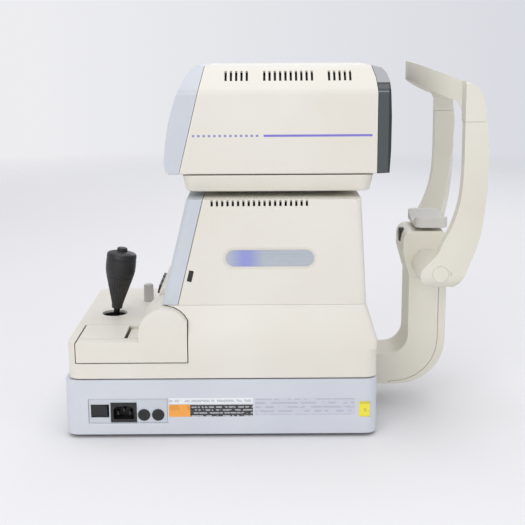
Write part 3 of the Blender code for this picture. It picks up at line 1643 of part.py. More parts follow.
def band_views(name, inset):
    """Cutters for the band's front view, an arch, and for its side view."""
    edge_ys = [(POST_OUTER + 0.003) * k / 6 for k in range(-6, 7)]
    inner_ys = [(POST_INNER - 0.006) * k / 6 for k in range(6, -7, -1)]
    arch = [Vector((-POST_OUTER - 0.003, BAND_SEAM - 0.01))]
    arch += [Vector((y, band_edge(BAND_TOP, 0.0165, y) - inset)) for y in edge_ys]
    arch += [Vector((POST_OUTER + 0.003, BAND_SEAM - 0.01)), Vector((POST_INNER, BAND_SEAM - 0.01))]
    arch += [Vector((POST_INNER, BAND_SEAM + 0.010))]
    arch += [Vector((y, band_edge(BAND_TOP - BAND_HEIGHT, 0.0240, y) + inset)) for y in inner_ys]
    arch += [Vector((-POST_INNER, BAND_SEAM + 0.010)), Vector((-POST_INNER, BAND_SEAM - 0.01))]
    side_points = ((-0.001, 0.30), (0.0035, BAND_SEAM), (0.0052, BAND_TOP - 0.0535), (0.0072, BAND_TOP - 0.0410))
    side_points += ((0.0104, BAND_TOP - 0.0328), (0.0160, BAND_TOP - 0.0270), (0.0242, BAND_TOP - 0.0225))
    side_points += ((0.060, BAND_TOP - 0.0085), (0.0795, BAND_TOP))
    side_points += ((0.13, BAND_TOP + 0.002), (0.13, 0.30))
    side = from_back((x, z if z < BAND_SEAM else z - inset) for x, z in side_points)
    front_view = prism(name + "_front_view", arch, "X", back - 0.12, back + 0.02)
    side_view = prism(name + "_side_view", side, "Y", -POST_OUTER - 0.01, POST_OUTER + 0.01)
    return front_view, side_view


for view, solver in zip(band_views("band", 0.0), ("EXACT", "MANIFOLD")):
    boolean(forehead_band, view, "INTERSECT", solver)

PAD_THICK = 0.004
PAD_INSET = 0.0015  # between the pad's edges and the band's
pad_outer = BAND_CURVE - BAND_THICK - GAP
pad_plan = arc(band_centre, 0, pad_outer, 180 - PAD_REACH, 180 + PAD_REACH, 8)
pad_plan += arc(band_centre, 0, pad_outer - PAD_THICK, 180 + PAD_REACH - 1, 180 - PAD_REACH + 1, 8)
forehead_pad = prism("forehead_pad", pad_plan, "Z", BAND_SEAM, BAND_TOP, CUP_GREY)
for view, solver in zip(band_views("pad", PAD_INSET), ("EXACT", "MANIFOLD")):
    boolean(forehead_pad, view, "INTERSECT", solver)

# ---- chin rest ----------------------------------------------------------------------

CUP_HALF = 0.040
CUP_DEPTH_X = 0.040
CUP_THICK = 0.013
CHIN_ROD = 0.005
CHIN_DISH = 0.060
cup_low = HUB_TOP + 0.0045
cup_x = back - 0.0505
rod_low = FRAME_BOTTOM + 0.008
chin_axis = body("chin_cup", (cup_x, 0, cup_low))
chin_cup = prism(
    "chin_cup",
    rectangle(cup_x - CUP_DEPTH_X / 2, cup_x + CUP_DEPTH_X / 2, -CUP_HALF, CUP_HALF, 0.010),
    "Z",
    cup_low,
    cup_low + CUP_THICK,
    CUP_GREY,
)
dish = rod(
    "chin_dish",
    (cup_x - 0.05, 0, cup_low + 0.004 + CHIN_DISH),
    (cup_x + 0.05, 0, cup_low + 0.004 + CHIN_DISH),
    CHIN_DISH,
    sides=48,
)
boolean(chin_cup, dish)
join(chin_cup, rod("chin_rod", (cup_x, 0, rod_low), (cup_x, 0, cup_low + 0.002), CHIN_ROD))
ride(chin_axis, chin_cup)
cut(
    headrest_frame,
    rod("chin_bore", (cup_x, 0, rod_low - 0.003), (cup_x, 0, HUB_TOP + 0.01), CHIN_ROD + FIT),
)

WHEEL_RADIUS = 0.009
wheel_z = 0.218
wheel_x = back - hub_front
wheel_axis = body("chin_wheel", (wheel_x, 0, wheel_z))
chin_wheel = turned(
    "chin_wheel",
    [(0, 0.0018), (WHEEL_RADIUS - 0.0012, 0.0018), (WHEEL_RADIUS, 0.0004), (WHEEL_RADIUS, -0.004), (0, -0.004)],
    (wheel_x, 0, wheel_z),
    (-1, 0, 0),
    BLACK,
)
smooth(chin_wheel)
ride(wheel_axis, chin_wheel)
cut(
    headrest_frame,
    rod(
        "wheel_pocket",
        (wheel_x - 0.01, 0, wheel_z),
        (wheel_x + 0.0045, 0, wheel_z),
        WHEEL_RADIUS + FIT,
        sides=24,
    ),
)
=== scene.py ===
import json
import math

import bmesh
import bpy
import numpy as np
from mathutils import Matrix, Vector


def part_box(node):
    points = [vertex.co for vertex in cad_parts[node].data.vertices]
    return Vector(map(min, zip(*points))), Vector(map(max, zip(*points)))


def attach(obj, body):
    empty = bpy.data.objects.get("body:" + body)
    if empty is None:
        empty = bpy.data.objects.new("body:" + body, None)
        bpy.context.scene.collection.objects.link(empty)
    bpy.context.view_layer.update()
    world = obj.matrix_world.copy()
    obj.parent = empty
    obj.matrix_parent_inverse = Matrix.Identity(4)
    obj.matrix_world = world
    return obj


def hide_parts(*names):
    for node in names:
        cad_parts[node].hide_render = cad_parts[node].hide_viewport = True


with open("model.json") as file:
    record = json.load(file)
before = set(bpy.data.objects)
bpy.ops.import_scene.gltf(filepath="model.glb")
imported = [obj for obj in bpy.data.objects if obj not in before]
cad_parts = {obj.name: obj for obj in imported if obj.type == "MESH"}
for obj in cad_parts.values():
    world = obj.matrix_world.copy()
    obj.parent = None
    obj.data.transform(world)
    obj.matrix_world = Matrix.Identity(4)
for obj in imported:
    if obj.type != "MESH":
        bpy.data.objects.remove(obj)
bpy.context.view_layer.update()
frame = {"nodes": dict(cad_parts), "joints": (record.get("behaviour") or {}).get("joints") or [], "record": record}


bodyOf = {node: body for body, members in frame["record"]["behaviour"]["bodies"].items() for node in members}
slotOf = {row["node"]: row["material_slot"] for row in frame["record"]["subparts"]}

view = {
    "place": (-0.013, -1.2852, 0.4553),
    "pitchDown": 12.0,  # degrees
    "roll": 0.33,
    "focalPixels": 1030.0,  # over an image 525 wide
}

camera = bpy.data.objects.new("camera", bpy.data.cameras.new("camera"))
bpy.context.scene.collection.objects.link(camera)
camera.data.sensor_width = 36.0
camera.data.lens = view["focalPixels"] / 525 * 36.0
camera.data.clip_end = 60.0
camera.matrix_world = (
    Matrix.Translation(view["place"])
    @ Matrix.Rotation(math.radians(90 - view["pitchDown"]), 4, "X")
    @ Matrix.Rotation(math.radians(-view["roll"]), 4, "Z")
)
bpy.context.scene.camera = camera
bpy.context.scene.view_settings.view_transform = "Standard"
print("camera placed")


# sRGB hex to linear: a channel c becomes ((c + 0.055) / 1.055) to the power 2.4
def linear(hexColour):
    channels = [int(hexColour[i:i + 2], 16) / 255 for i in (1, 3, 5)]
    return tuple(c / 12.92 if c < 0.04045 else ((c + 0.055) / 1.055) ** 2.4 for c in channels) + (1.0,)


# adds one node and gives one of its outputs: an input is linked if its value is a socket, else set
def addNode(tree, kind, inputs=None, out=0, **settings):
    node = tree.nodes.new("ShaderNode" + kind)
    for key, value in settings.items():
        setattr(node, key, value)
    for key, value in (inputs or {}).items():
        if isinstance(value, bpy.types.NodeSocket):
            tree.links.new(value, node.inputs[key])
        else:
            node.inputs[key].default_value = value
    return node.outputs[out] if len(node.outputs) else node


def startMaterial(name):
    material = bpy.data.materials.new(name)
    material.use_nodes = True
    tree = material.node_tree
    tree.nodes.clear()
    coords = addNode(tree, "TexCoord", out="Object")
    return material, tree, coords


# joins colour, roughness and a chain of bumps, each a height and its distance in metres, to one shader
def finishMaterial(tree, colour, roughness, bumps, **fixed):
    inputs = {"Base Color": colour, "Roughness": roughness}
    for height, distance in bumps:
        bump = {"Height": height, "Distance": distance, "Strength": 1.0}
        if "Normal" in inputs:
            bump["Normal"] = inputs["Normal"]
        inputs["Normal"] = addNode(tree, "Bump", bump)
    inputs.update({key.replace("_", " "): value for key, value in fixed.items()})
    addNode(tree, "OutputMaterial", {"Surface": addNode(tree, "BsdfPrincipled", inputs)})


# Injection-moulded casing. Broad noise shifts its tint, as an ageing moulding does, and specks are dust. Sharp
# edges are rubbed paler: the share is 1 minus the dot product of the rounded and the true normal, scaled up.
# Drawn-out noise changes the gloss, and fine noise is the spark-eroded texture of the mould.
def mouldedPlastic(name, look, overlay=None):
    material, tree, coords = startMaterial(name)
    drift = addNode(tree, "TexNoise", {"Vector": coords, "Scale": look["driftScale"], "Detail": 2.0})
    drift = addNode(tree, "Math", {0: drift, 1: 2.4, 2: -0.7}, operation="MULTIPLY_ADD", use_clamp=True)
    tint = {0: drift, 6: linear(look["colour"]), 7: linear(look["aged"])}
    colour = addNode(tree, "Mix", tint, out=2, data_type="RGBA")
    specks = addNode(tree, "TexNoise", {"Vector": coords, "Scale": 420.0, "Detail": 2.0})
    specks = addNode(tree, "Math", {0: specks, 1: 9.0, 2: -6.3}, operation="MULTIPLY_ADD", use_clamp=True)
    specks = addNode(tree, "Math", {0: specks, 1: look["dust"]}, operation="MULTIPLY")
    colour = {0: specks, 6: colour, 7: linear(look["dustColour"])}
    colour = addNode(tree, "Mix", colour, out=2, data_type="RGBA")
    if look["wear"]:
        rounded = addNode(tree, "Bevel", {"Radius": 0.0012}, samples=4)
        true = addNode(tree, "NewGeometry", out="Normal")
        turned = addNode(tree, "VectorMath", {0: rounded, 1: true}, out="Value", operation="DOT_PRODUCT")
        share = 3.0 * look["wear"]
        rubbed = {0: turned, 1: -share, 2: share}
        rubbed = addNode(tree, "Math", rubbed, operation="MULTIPLY_ADD", use_clamp=True)
        colour = {0: rubbed, 6: colour, 7: linear(look["worn"])}
        colour = addNode(tree, "Mix", colour, out=2, data_type="RGBA")
    drawn = addNode(tree, "Mapping", {"Vector": coords, "Scale": (8.0, 8.0, 90.0)})
    streaks = addNode(tree, "TexNoise", {"Vector": drawn, "Scale": 3.0, "Detail": 4.0})
    gloss = {0: streaks, 1: look["glossShift"], 2: look["roughness"] - look["glossShift"] / 2}
    roughness = addNode(tree, "Math", gloss, operation="MULTIPLY_ADD")
    grain = addNode(tree, "TexNoise", {"Vector": coords, "Scale": look["grainScale"], "Detail": 1.0})
    warp = addNode(tree, "TexNoise", {"Vector": coords, "Scale": 18.0, "Detail": 1.0})
    if overlay:
        colour, roughness = overlay(tree, coords, colour, roughness)
    finishMaterial(tree, colour, roughness, [(warp, look["sink"]), (grain, look["grainDepth"])], IOR=1.54)
    return material


# ABS casings: satin, with a 0.8 mm texture, drawn coarser than the real 0.3 mm so that it shows
casing = {
    "colour": "#E4E1D9", "aged": "#DEDACD", "driftScale": 7.0, "dust": 0.10, "dustColour": "#B9B29E",
    "wear": 0.35, "worn": "#F0EEE8", "roughness": 0.46, "glossShift": 0.10,
    "grainScale": 1200.0, "grainDepth": 0.00007, "sink": 0.00025,
}
headrestLook = {**casing, "colour": "#E1DED2", "aged": "#D9D5C6", "roughness": 0.42}
baseLook = {
    **casing, "colour": "#D2D6DD", "aged": "#CBCFD7", "dustColour": "#9297A6", "worn": "#DEE1EA",
    "roughness": 0.44,
}
trimLook = {**baseLook, "colour": "#CACFD6", "aged": "#C2C8D0", "roughness": 0.36, "grainDepth": 0.00004}
blackLook = {
    **casing, "colour": "#18181A", "aged": "#131315", "dust": 0.25, "dustColour": "#55534F",
    "worn": "#4A4A4E", "roughness": 0.42, "grainDepth": 0.00012,
}
frontLook = {
    **blackLook, "colour": "#1D1F21", "aged": "#26292B", "roughness": 0.30, "grainDepth": 0.00002, "dust": 0.1,
}
knobLook = {**blackLook, "colour": "#C6C4C2", "aged": "#BDBBB9", "worn": "#D6D4D2", "dustColour": "#6B6966"}
cupLook = {**casing, "colour": "#CFCECA", "aged": "#C6C4BE", "roughness": 0.52, "dustColour": "#A7A499"}
badgeLook = {**trimLook, "colour": "#A5AFB9", "aged": "#9CA6B2", "roughness": 0.28, "wear": 0.0}

stripe = {
    "beyond": 0.1035,  # printed only on the faces further than this from the middle
    "height": 0.3523, "halfWidth": 0.0013, "solid": (-0.011, 0.1135), "dots": (-0.0928, -0.0150),
    "pitch": 0.0061, "phase": 15.5, "dotShare": 0.24, "colour": "#7D76CD", "dotColour": "#8E90BE",
    "gloss": 0.30,
}


# Screen-printed line on the head's sides: solid towards the patient, then a row of square dots. A dot shows
# where the position along X, divided by the pitch, has its fractional part near a half.
def printedStripe(tree, coords, colour, roughness):
    split = addNode(tree, "SeparateXYZ", {0: coords}).node.outputs
    outwards = addNode(tree, "Math", {0: split[1]}, operation="ABSOLUTE")
    side = addNode(tree, "Math", {0: outwards, 1: stripe["beyond"]}, operation="GREATER_THAN")
    level = {0: split[2], 1: stripe["height"], 2: stripe["halfWidth"]}
    level = addNode(tree, "Math", level, operation="COMPARE")
    here = addNode(tree, "Math", {0: side, 1: level}, operation="MULTIPLY")
    steps = {0: split[0], 1: 1 / stripe["pitch"], 2: stripe["phase"]}
    steps = addNode(tree, "Math", steps, operation="MULTIPLY_ADD")
    steps = addNode(tree, "Math", {0: steps}, operation="FRACT")
    isDot = addNode(tree, "Math", {0: steps, 1: 0.5, 2: stripe["dotShare"]}, operation="COMPARE")
    inked = []
    for (low, high), extra, ink in (
        (stripe["solid"], 1.0, stripe["colour"]), (stripe["dots"], isDot, stripe["dotColour"]),
    ):
        reach = {0: split[0], 1: (low + high) / 2, 2: (high - low) / 2}
        reach = addNode(tree, "Math", reach, operation="COMPARE")
        mask = addNode(tree, "Math", {0: here, 1: reach}, operation="MULTIPLY")
        mask = addNode(tree, "Math", {0: mask, 1: extra}, operation="MULTIPLY")
        colour = addNode(tree, "Mix", {0: mask, 6: colour, 7: linear(ink)}, out=2, data_type="RGBA")
        inked.append(mask)
    both = addNode(tree, "Math", {0: inked[0], 1: inked[1]}, operation="MAXIMUM")
    return colour, addNode(tree, "Mix", {0: both, 2: roughness, 3: stripe["gloss"]})


# the pale line and the side tint are painted light: a highlight at the chamfer's corner and the lit flat of each
# side face
front = {
    "greyAbove": 0.4115, "grey": "#A2A4A8", "greyRoughness": 0.45, "lineAt": 0.4016, "lineHalf": 0.0006,
    "line": "#7F8A90", "inner": (0.1172, 0.1318), "beyond": 0.0985, "tint": "#474D50",
}


# Patient end of the head: pale shoulder over the dark acrylic. On the side faces the flat between the rounded ends
# is painted paler as painted light, and one fine pale line along the chamfer's corner is a painted highlight
def frontColours(tree, coords, colour, roughness):
    split = addNode(tree, "SeparateXYZ", {0: coords}).node.outputs
    outwards = addNode(tree, "Math", {0: split[1]}, operation="ABSOLUTE")
    side = addNode(tree, "Math", {0: outwards, 1: front["beyond"]}, operation="GREATER_THAN")
    # painted light: the flat of each side face, between its rounded ends, is painted paler as if lit; the ends
    # keep the dark acrylic
    low, high = front["inner"]
    inner = {0: split[0], 1: (low + high) / 2, 2: (high - low) / 2}
    inner = addNode(tree, "Math", inner, operation="COMPARE")
    inner = addNode(tree, "Math", {0: inner, 1: side}, operation="MULTIPLY")
    colour = addNode(tree, "Mix", {0: inner, 6: colour, 7: linear(front["tint"])}, out=2, data_type="RGBA")
    # painted highlight: a fine pale line along the chamfer's corner, only on that lit flat
    line = addNode(tree, "Math", {0: split[2], 1: front["lineAt"], 2: front["lineHalf"]}, operation="COMPARE")
    line = addNode(tree, "Math", {0: line, 1: inner}, operation="MULTIPLY")
    colour = addNode(tree, "Mix", {0: line, 6: colour, 7: linear(front["line"])}, out=2, data_type="RGBA")
    above = addNode(tree, "Math", {0: split[2], 1: front["greyAbove"]}, operation="GREATER_THAN")
    colour = addNode(tree, "Mix", {0: above, 6: colour, 7: linear(front["grey"])}, out=2, data_type="RGBA")
    return colour, addNode(tree, "Mix", {0: above, 2: roughness, 3: front["greyRoughness"]})


badge = {"patchAt": -0.032, "patchColour": "#9197D0", "sheen": "#BAC1C8"}


# Badge foil: brushed blue-grey, with a soft violet patch that fades with the distance from patchAt
def badgeColours(tree, coords, colour, roughness):
    x = addNode(tree, "SeparateXYZ", {0: coords})
    away = addNode(tree, "Math", {0: x, 1: badge["patchAt"]}, operation="SUBTRACT")
    away = addNode(tree, "Math", {0: away}, operation="ABSOLUTE")
    patch = addNode(tree, "Math", {0: away, 1: -60.0, 2: 1.25}, operation="MULTIPLY_ADD", use_clamp=True)
    brushed = addNode(tree, "Mapping", {"Vector": coords, "Scale": (6.0, 6.0, 1400.0)})
    hairs = addNode(tree, "TexNoise", {"Vector": brushed, "Scale": 1.0, "Detail": 3.0})
    colour = addNode(tree, "Mix", {0: hairs, 6: colour, 7: linear(badge["sheen"])}, out=2, data_type="RGBA")
    colour = {0: patch, 6: colour, 7: linear(badge["patchColour"])}
    colour = addNode(tree, "Mix", colour, out=2, data_type="RGBA")
    return colour, roughness


# Ground or milled metal: noise drawn out along one axis is the tool's marks, in roughness and in height
def groundMetal(name, look):
    material, tree, coords = startMaterial(name)
    drawn = addNode(tree, "Mapping", {"Vector": coords, "Scale": (900.0, 40.0, 900.0)})
    marks = addNode(tree, "TexNoise", {"Vector": drawn, "Scale": 1.0, "Detail": 4.0})
    tarnish = addNode(tree, "TexNoise", {"Vector": coords, "Scale": 30.0, "Detail": 4.0})
    tint = {0: tarnish, 6: linear(look["colour"]), 7: linear(look["dulled"])}
    colour = addNode(tree, "Mix", tint, out=2, data_type="RGBA")
    rough = addNode(tree, "Math", {0: marks, 1: 0.25, 2: look["roughness"] - 0.12}, operation="MULTIPLY_ADD")
    finishMaterial(tree, colour, rough, [(marks, 0.00005)], Metallic=1.0)
    return material


# Moulded rubber or silicone: matt, with fine pores and a pale bloom in patches
def mouldedRubber(name, look):
    material, tree, coords = startMaterial(name)
    bloom = addNode(tree, "TexNoise", {"Vector": coords, "Scale": 55.0, "Detail": 5.0})
    bloom = addNode(tree, "Math", {0: bloom, 1: 1.2, 2: -0.45}, operation="MULTIPLY_ADD", use_clamp=True)
    tint = {0: bloom, 6: linear(look["colour"]), 7: linear(look["bloomed"])}
    colour = addNode(tree, "Mix", tint, out=2, data_type="RGBA")
    pores = addNode(tree, "TexVoronoi", {"Vector": coords, "Scale": 900.0})
    rough = addNode(tree, "Math", {0: bloom, 1: 0.12, 2: look["roughness"]}, operation="MULTIPLY_ADD")
    finishMaterial(tree, colour, rough, [(pores, 0.00008)], IOR=1.45)
    return material


# Dark glass over optics or a display: near black, mirror smooth, with faint smears
def polishedGlass(name, look):
    material, tree, coords = startMaterial(name)
    smear = addNode(tree, "TexNoise", {"Vector": coords, "Scale": 25.0, "Detail": 3.0, "Distortion": 1.5})
    rough = addNode(tree, "Math", {0: smear, 1: 0.10, 2: look["roughness"]}, operation="MULTIPLY_ADD")
    tint = {0: smear, 6: linear(look["colour"]), 7: linear(look["smeared"])}
    colour = addNode(tree, "Mix", tint, out=2, data_type="RGBA")
    finishMaterial(tree, colour, rough, [(smear, 0.00002)], IOR=1.52, Coat_Weight=1.0, Coat_Roughness=0.03)
    return material


# FR4 laminate: green solder mask, with tracks 2.5 mm apart that run across or up in patches
def solderedBoard(name):
    material, tree, coords = startMaterial(name)
    split = addNode(tree, "SeparateXYZ", {0: coords}).node.outputs
    tracks = []
    for axis in (split[0], split[2]):
        steps = addNode(tree, "Math", {0: axis, 1: 400.0}, operation="MULTIPLY")
        steps = addNode(tree, "Math", {0: steps}, operation="FRACT")
        tracks.append(addNode(tree, "Math", {0: steps, 1: 0.5, 2: 0.16}, operation="COMPARE"))
    patches = addNode(tree, "TexNoise", {"Vector": coords, "Scale": 70.0, "Detail": 0.0})
    across = addNode(tree, "Math", {0: patches, 1: 0.5}, operation="GREATER_THAN")
    track = addNode(tree, "Mix", {0: across, 2: tracks[0], 3: tracks[1]})
    colour = {0: track, 6: linear("#0E4A26"), 7: linear("#1F7A45")}
    colour = addNode(tree, "Mix", colour, out=2, data_type="RGBA")
    finishMaterial(tree, colour, 0.35, [(track, 0.00005)], IOR=1.55)
    return material


# Thermal paper wound tight: coated white, with rings on its ends, a sine of the distance from the roll's axis
def thermalPaper(name, centre):
    material, tree, coords = startMaterial(name)
    flat = {"Vector": coords, "Location": (-centre[0], 0.0, -centre[2]), "Scale": (1.0, 0.0, 1.0)}
    flat = addNode(tree, "Mapping", flat)
    reach = addNode(tree, "VectorMath", {0: flat}, out="Value", operation="LENGTH")
    turns = addNode(tree, "Math", {0: reach, 1: 9000.0}, operation="MULTIPLY")
    turns = addNode(tree, "Math", {0: turns}, operation="SINE")
    share = addNode(tree, "Math", {0: turns, 1: 0.25, 2: 0.3}, operation="MULTIPLY_ADD")
    colour = {0: share, 6: linear("#F1F0EC"), 7: linear("#D9D6CD")}
    colour = addNode(tree, "Mix", colour, out=2, data_type="RGBA")
    finishMaterial(tree, colour, 0.75, [(turns, 0.00003)], IOR=1.5)
    return material


# Near-black sheet behind the vents, painted shade of the casing's dark inside seen through them: crossed sines,
# 1.4 mm apart, stand for woven threads drawn on it
def ventShadeSheetLook(name):
    material, tree, coords = startMaterial(name)
    split = addNode(tree, "SeparateXYZ", {0: coords}).node.outputs
    rise = addNode(tree, "Math", {0: split[1], 1: split[2]}, operation="ADD")
    waves = []
    for axis in (split[0], rise):
        wave = addNode(tree, "Math", {0: axis, 1: 4500.0}, operation="MULTIPLY")
        waves.append(addNode(tree, "Math", {0: wave}, operation="SINE"))
    threads = addNode(tree, "Math", {0: waves[0], 1: waves[1]}, operation="MAXIMUM")
    share = addNode(tree, "Math", {0: threads, 1: 0.5, 2: 0.5}, operation="MULTIPLY_ADD", use_clamp=True)
    # near-black colours: painted shade of the casing's inside where the vents show it
    colour = {0: share, 6: linear("#0A0908"), 7: linear("#211F1C")}
    colour = addNode(tree, "Mix", colour, out=2, data_type="RGBA")
    finishMaterial(tree, colour, 0.9, [(threads, 0.0002)])
    return material


# Printed vinyl label: a plain ground with rows of plain bars, which noise along X breaks at uneven places
def printedVinyl(name, look):
    material, tree, coords = startMaterial(name)
    split = addNode(tree, "SeparateXYZ", {0: coords}).node.outputs
    rows = addNode(tree, "Math", {0: split[2], 1: 1 / look["rowPitch"]}, operation="MULTIPLY")
    isRow = addNode(tree, "Math", {0: rows}, operation="FRACT")
    isRow = addNode(tree, "Math", {0: isRow, 1: 0.5, 2: 0.22}, operation="COMPARE")
    perRow = {"Vector": coords, "Scale": (look["breaks"], 0.0, 1 / look["rowPitch"])}
    perRow = addNode(tree, "Mapping", perRow)
    gaps = addNode(tree, "TexNoise", {"Vector": perRow, "Scale": 1.0, "Detail": 0.0})
    gaps = addNode(tree, "Math", {0: gaps, 1: 0.43}, operation="GREATER_THAN")
    ink = addNode(tree, "Math", {0: isRow, 1: gaps}, operation="MULTIPLY")
    ink = addNode(tree, "Math", {0: ink, 1: look["inkShare"]}, operation="MULTIPLY")
    colour = {0: ink, 6: linear(look["ground"]), 7: linear(look["ink"])}
    colour = addNode(tree, "Mix", colour, out=2, data_type="RGBA")
    wear = addNode(tree, "TexNoise", {"Vector": coords, "Scale": 160.0, "Detail": 3.0})
    rough = addNode(tree, "Math", {0: wear, 1: 0.2, 2: 0.25}, operation="MULTIPLY_ADD")
    finishMaterial(tree, colour, rough, [(wear, 0.00002)], IOR=1.5)
    return material


creamAbs = mouldedPlastic("cream moulded ABS", casing)
stripedAbs = mouldedPlastic("cream moulded ABS with printed stripe", casing, printedStripe)
headrestAbs = mouldedPlastic("ivory moulded ABS", headrestLook)
baseAbs = mouldedPlastic("blue-grey moulded ABS", baseLook)
trimPaint = mouldedPlastic("pale blue painted ABS", trimLook)
frontAcrylic = mouldedPlastic("charcoal moulded acrylic", frontLook, frontColours)
blackAbs = mouldedPlastic("black moulded ABS", blackLook)
knobNylon = mouldedPlastic("grey moulded nylon", knobLook)
cupAbs = mouldedPlastic("light grey moulded ABS", cupLook)
badgeFoil = mouldedPlastic("printed badge foil", badgeLook, badgeColours)
blackRubber = mouldedRubber(
    "black moulded rubber", {"colour": "#252527", "bloomed": "#38383B", "roughness": 0.62}
)
padSilicone = mouldedRubber(
    "grey moulded silicone", {"colour": "#C9C7C1", "bloomed": "#D8D6D0", "roughness": 0.50}
)
groundSteel = groundMetal("ground steel", {"colour": "#B9BABC", "dulled": "#9D9EA0", "roughness": 0.30})
milledAluminium = groundMetal(
    "milled aluminium", {"colour": "#CBCCCE", "dulled": "#B2B3B6", "roughness": 0.36}
)
blackSteel = groundMetal(
    "blackened ground steel", {"colour": "#2A2A2C", "dulled": "#1F1F21", "roughness": 0.40}
)
screenGlass = polishedGlass("display glass", {"colour": "#15171C", "smeared": "#1D2026", "roughness": 0.05})
windowGlass = polishedGlass(
    "coated window glass", {"colour": "#0B0A18", "smeared": "#161228", "roughness": 0.03}
)
boardLaminate = solderedBoard("soldered board laminate")
rollMiddle = sum(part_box("paper_roll"), Vector()) / 2
rollPaper = thermalPaper("coated thermal paper", rollMiddle)
ventShadeSheet = ventShadeSheetLook("woven polyester gauze")

finishOf = {
    "cream_casing": creamAbs, "headrest_casing": headrestAbs, "blue_grey_casing": baseAbs,
    "pale_blue_trim": trimPaint, "charcoal_front": frontAcrylic, "black_plastic": blackAbs,
    "knob_grey": knobNylon, "cup_grey": cupAbs,
    "rubber": blackRubber, "steel": groundSteel, "aluminium": milledAluminium, "board": boardLaminate,
    "paper": rollPaper, "dark_glass": screenGlass, "badge": badgeFoil,
}
finishOfNode = {
    "head_cover": stripedAbs, "window_glass": windowGlass, "forehead_pad": padSilicone,
    "joystick_stem": blackSteel,
}
for node, solid in frame["nodes"].items():
    solid.data.materials.clear()
    solid.data.materials.append(finishOfNode.get(node, finishOf[slotOf[node]]))
print("materials made:", len(bpy.data.materials))


# puts a mesh into the scene as a piece that rides on a body, finished in the material it is given
def addPiece(name, mesh, body, slot, material, *replaced):
    mesh.materials.append(material)
    piece = bpy.data.objects.new(name, mesh)
    bpy.context.scene.collection.objects.link(piece)
    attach(piece, body)
    if replaced:
        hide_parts(*replaced)
    return piece


# Merged copy of a CAD solid: equal corners become one, and facets that differ by less than joined degrees are
# one face. Edges sharper than sharp degrees are rounded by edge, and the rest is shaded smooth.
def dressed(node, edge, segments=2, sharp=30.0, joined=0.6):
    source = frame["nodes"][node].data
    points = np.empty(len(source.vertices) * 3)
    source.vertices.foreach_get("co", points)
    faces = np.empty(len(source.polygons) * 3, int)
    source.polygons.foreach_get("vertices", faces)
    places, index = np.unique(np.round(points.reshape(-1, 3), 6), axis=0, return_inverse=True)
    faces = index.reshape(-1)[faces.reshape(-1, 3)]
    whole = (faces[:, 0] != faces[:, 1]) & (faces[:, 1] != faces[:, 2]) & (faces[:, 2] != faces[:, 0])
    mesh = bpy.data.meshes.new(node + "_skin")
    mesh.from_pydata(places.tolist(), [], faces[whole].tolist())
    solid = bmesh.new()
    solid.from_mesh(mesh)
    flattest = math.radians(joined)
    bmesh.ops.dissolve_limit(solid, angle_limit=flattest, verts=solid.verts, edges=solid.edges)
    solid.to_mesh(mesh)
    solid.free()
    mesh.shade_smooth()
    mesh.set_sharp_from_angle(angle=math.radians(sharp))
    piece = addPiece(node + "_skin", mesh, bodyOf[node], slotOf[node], source.materials[0], node)
    if edge:
        bevel = piece.modifiers.new("edges", "BEVEL")
        bevel.width = edge
        bevel.segments = segments
        bevel.limit_method = "ANGLE"
        bevel.angle_limit = math.radians(sharp)
    weights = piece.modifiers.new("normals", "WEIGHTED_NORMAL")
    weights.keep_sharp = True
    return piece


roundedEdges = {
    "base_housing": 0.0008, "stage_casing": 0.0006, "column_cover": 0.0005, "operator_panel": 0.0006,
    "head_cover": 0.0004, "operator_bezel": 0.0006, "front_panel": 0.0006, "head_tray": 0.0006,
    "headrest_arm": 0.0008, "arm_cover": 0.0008, "headrest_frame": 0.0028, "forehead_band": 0.0020,
    "forehead_pad": 0.0006, "frame_cap_near": 0.0003, "frame_cap_far": 0.0003, "chin_cup": 0.0012,
    "chin_wheel": 0.0004, "printer_frame": 0.0005, "printer_cover": 0.0005, "key_console": 0.0005,
    "key_1": 0.0003, "key_2": 0.0003, "key_3": 0.0003, "brightness_dial": 0.0003, "joystick_socket": 0.0003,
    "measure_button": 0.0003, "badge_plate": 0.0, "power_panel": 0.0003, "power_rocker": 0.0003,
    "mains_inlet": 0.0002, "fuse_cap_1": 0.0002, "fuse_cap_2": 0.0002, "screen": 0.0004,
    "window_glass": 0.0003, "paper_roll": 0.0004, "foot_operator_near": 0.0005, "foot_operator_far": 0.0005,
    "foot_patient_near": 0.0005, "foot_patient_far": 0.0005,
}
edgeSegments = {"headrest_frame": 4, "forehead_band": 4, "chin_cup": 3}
keptFacets = {"printer_frame"}  # its top has a window in it, so its facets stay apart
for node, edge in roundedEdges.items():
    dressed(node, edge, edgeSegments.get(node, 2), joined=0.0 if node in keptFacets else 0.6)
print("solids dressed:", len(roundedEdges))


# Profile of (distance along the axis, radius, share of fluting) turned about the axis, as a grid of rings.
# Flutes multiply the radius by 1 - depth * share * (1 - cos(flutes * angle)) / 2; a share left out is 0.
def turnedPiece(name, place, axis, look):
    sides = look["sides"]
    profile = np.array([(*row, 0.0)[:3] for row in look["profile"]])
    angles = np.linspace(0, 2 * np.pi, sides, endpoint=False)
    fluting = 1 - look["fluteDepth"] * profile[:, 2:] * (1 - np.cos(look["flutes"] * angles)) / 2
    radii = profile[:, 1:2] * fluting
    axis = Vector(axis).normalized()
    across = axis.orthogonal().normalized()
    spokes = np.cos(angles)[:, None] * np.array(across) + np.sin(angles)[:, None] * np.array(axis.cross(across))
    rings = np.array(place) + profile[:, 0, None, None] * np.array(axis) + radii[..., None] * spokes
    row, column = np.meshgrid(np.arange(len(profile) - 1), np.arange(sides), indexing="ij")
    after = (column + 1) % sides
    low, high = row * sides, (row + 1) * sides
    quads = np.stack([low + column, low + after, high + after, high + column], -1)
    caps = [list(range(sides))[::-1], list(range((len(profile) - 1) * sides, len(profile) * sides))]
    mesh = bpy.data.meshes.new(name)
    mesh.from_pydata(rings.reshape(-1, 3).tolist(), [], quads.reshape(-1, 4).tolist() + caps)
    mesh.shade_smooth()
    mesh.set_sharp_from_angle(angle=math.radians(38))
    return mesh


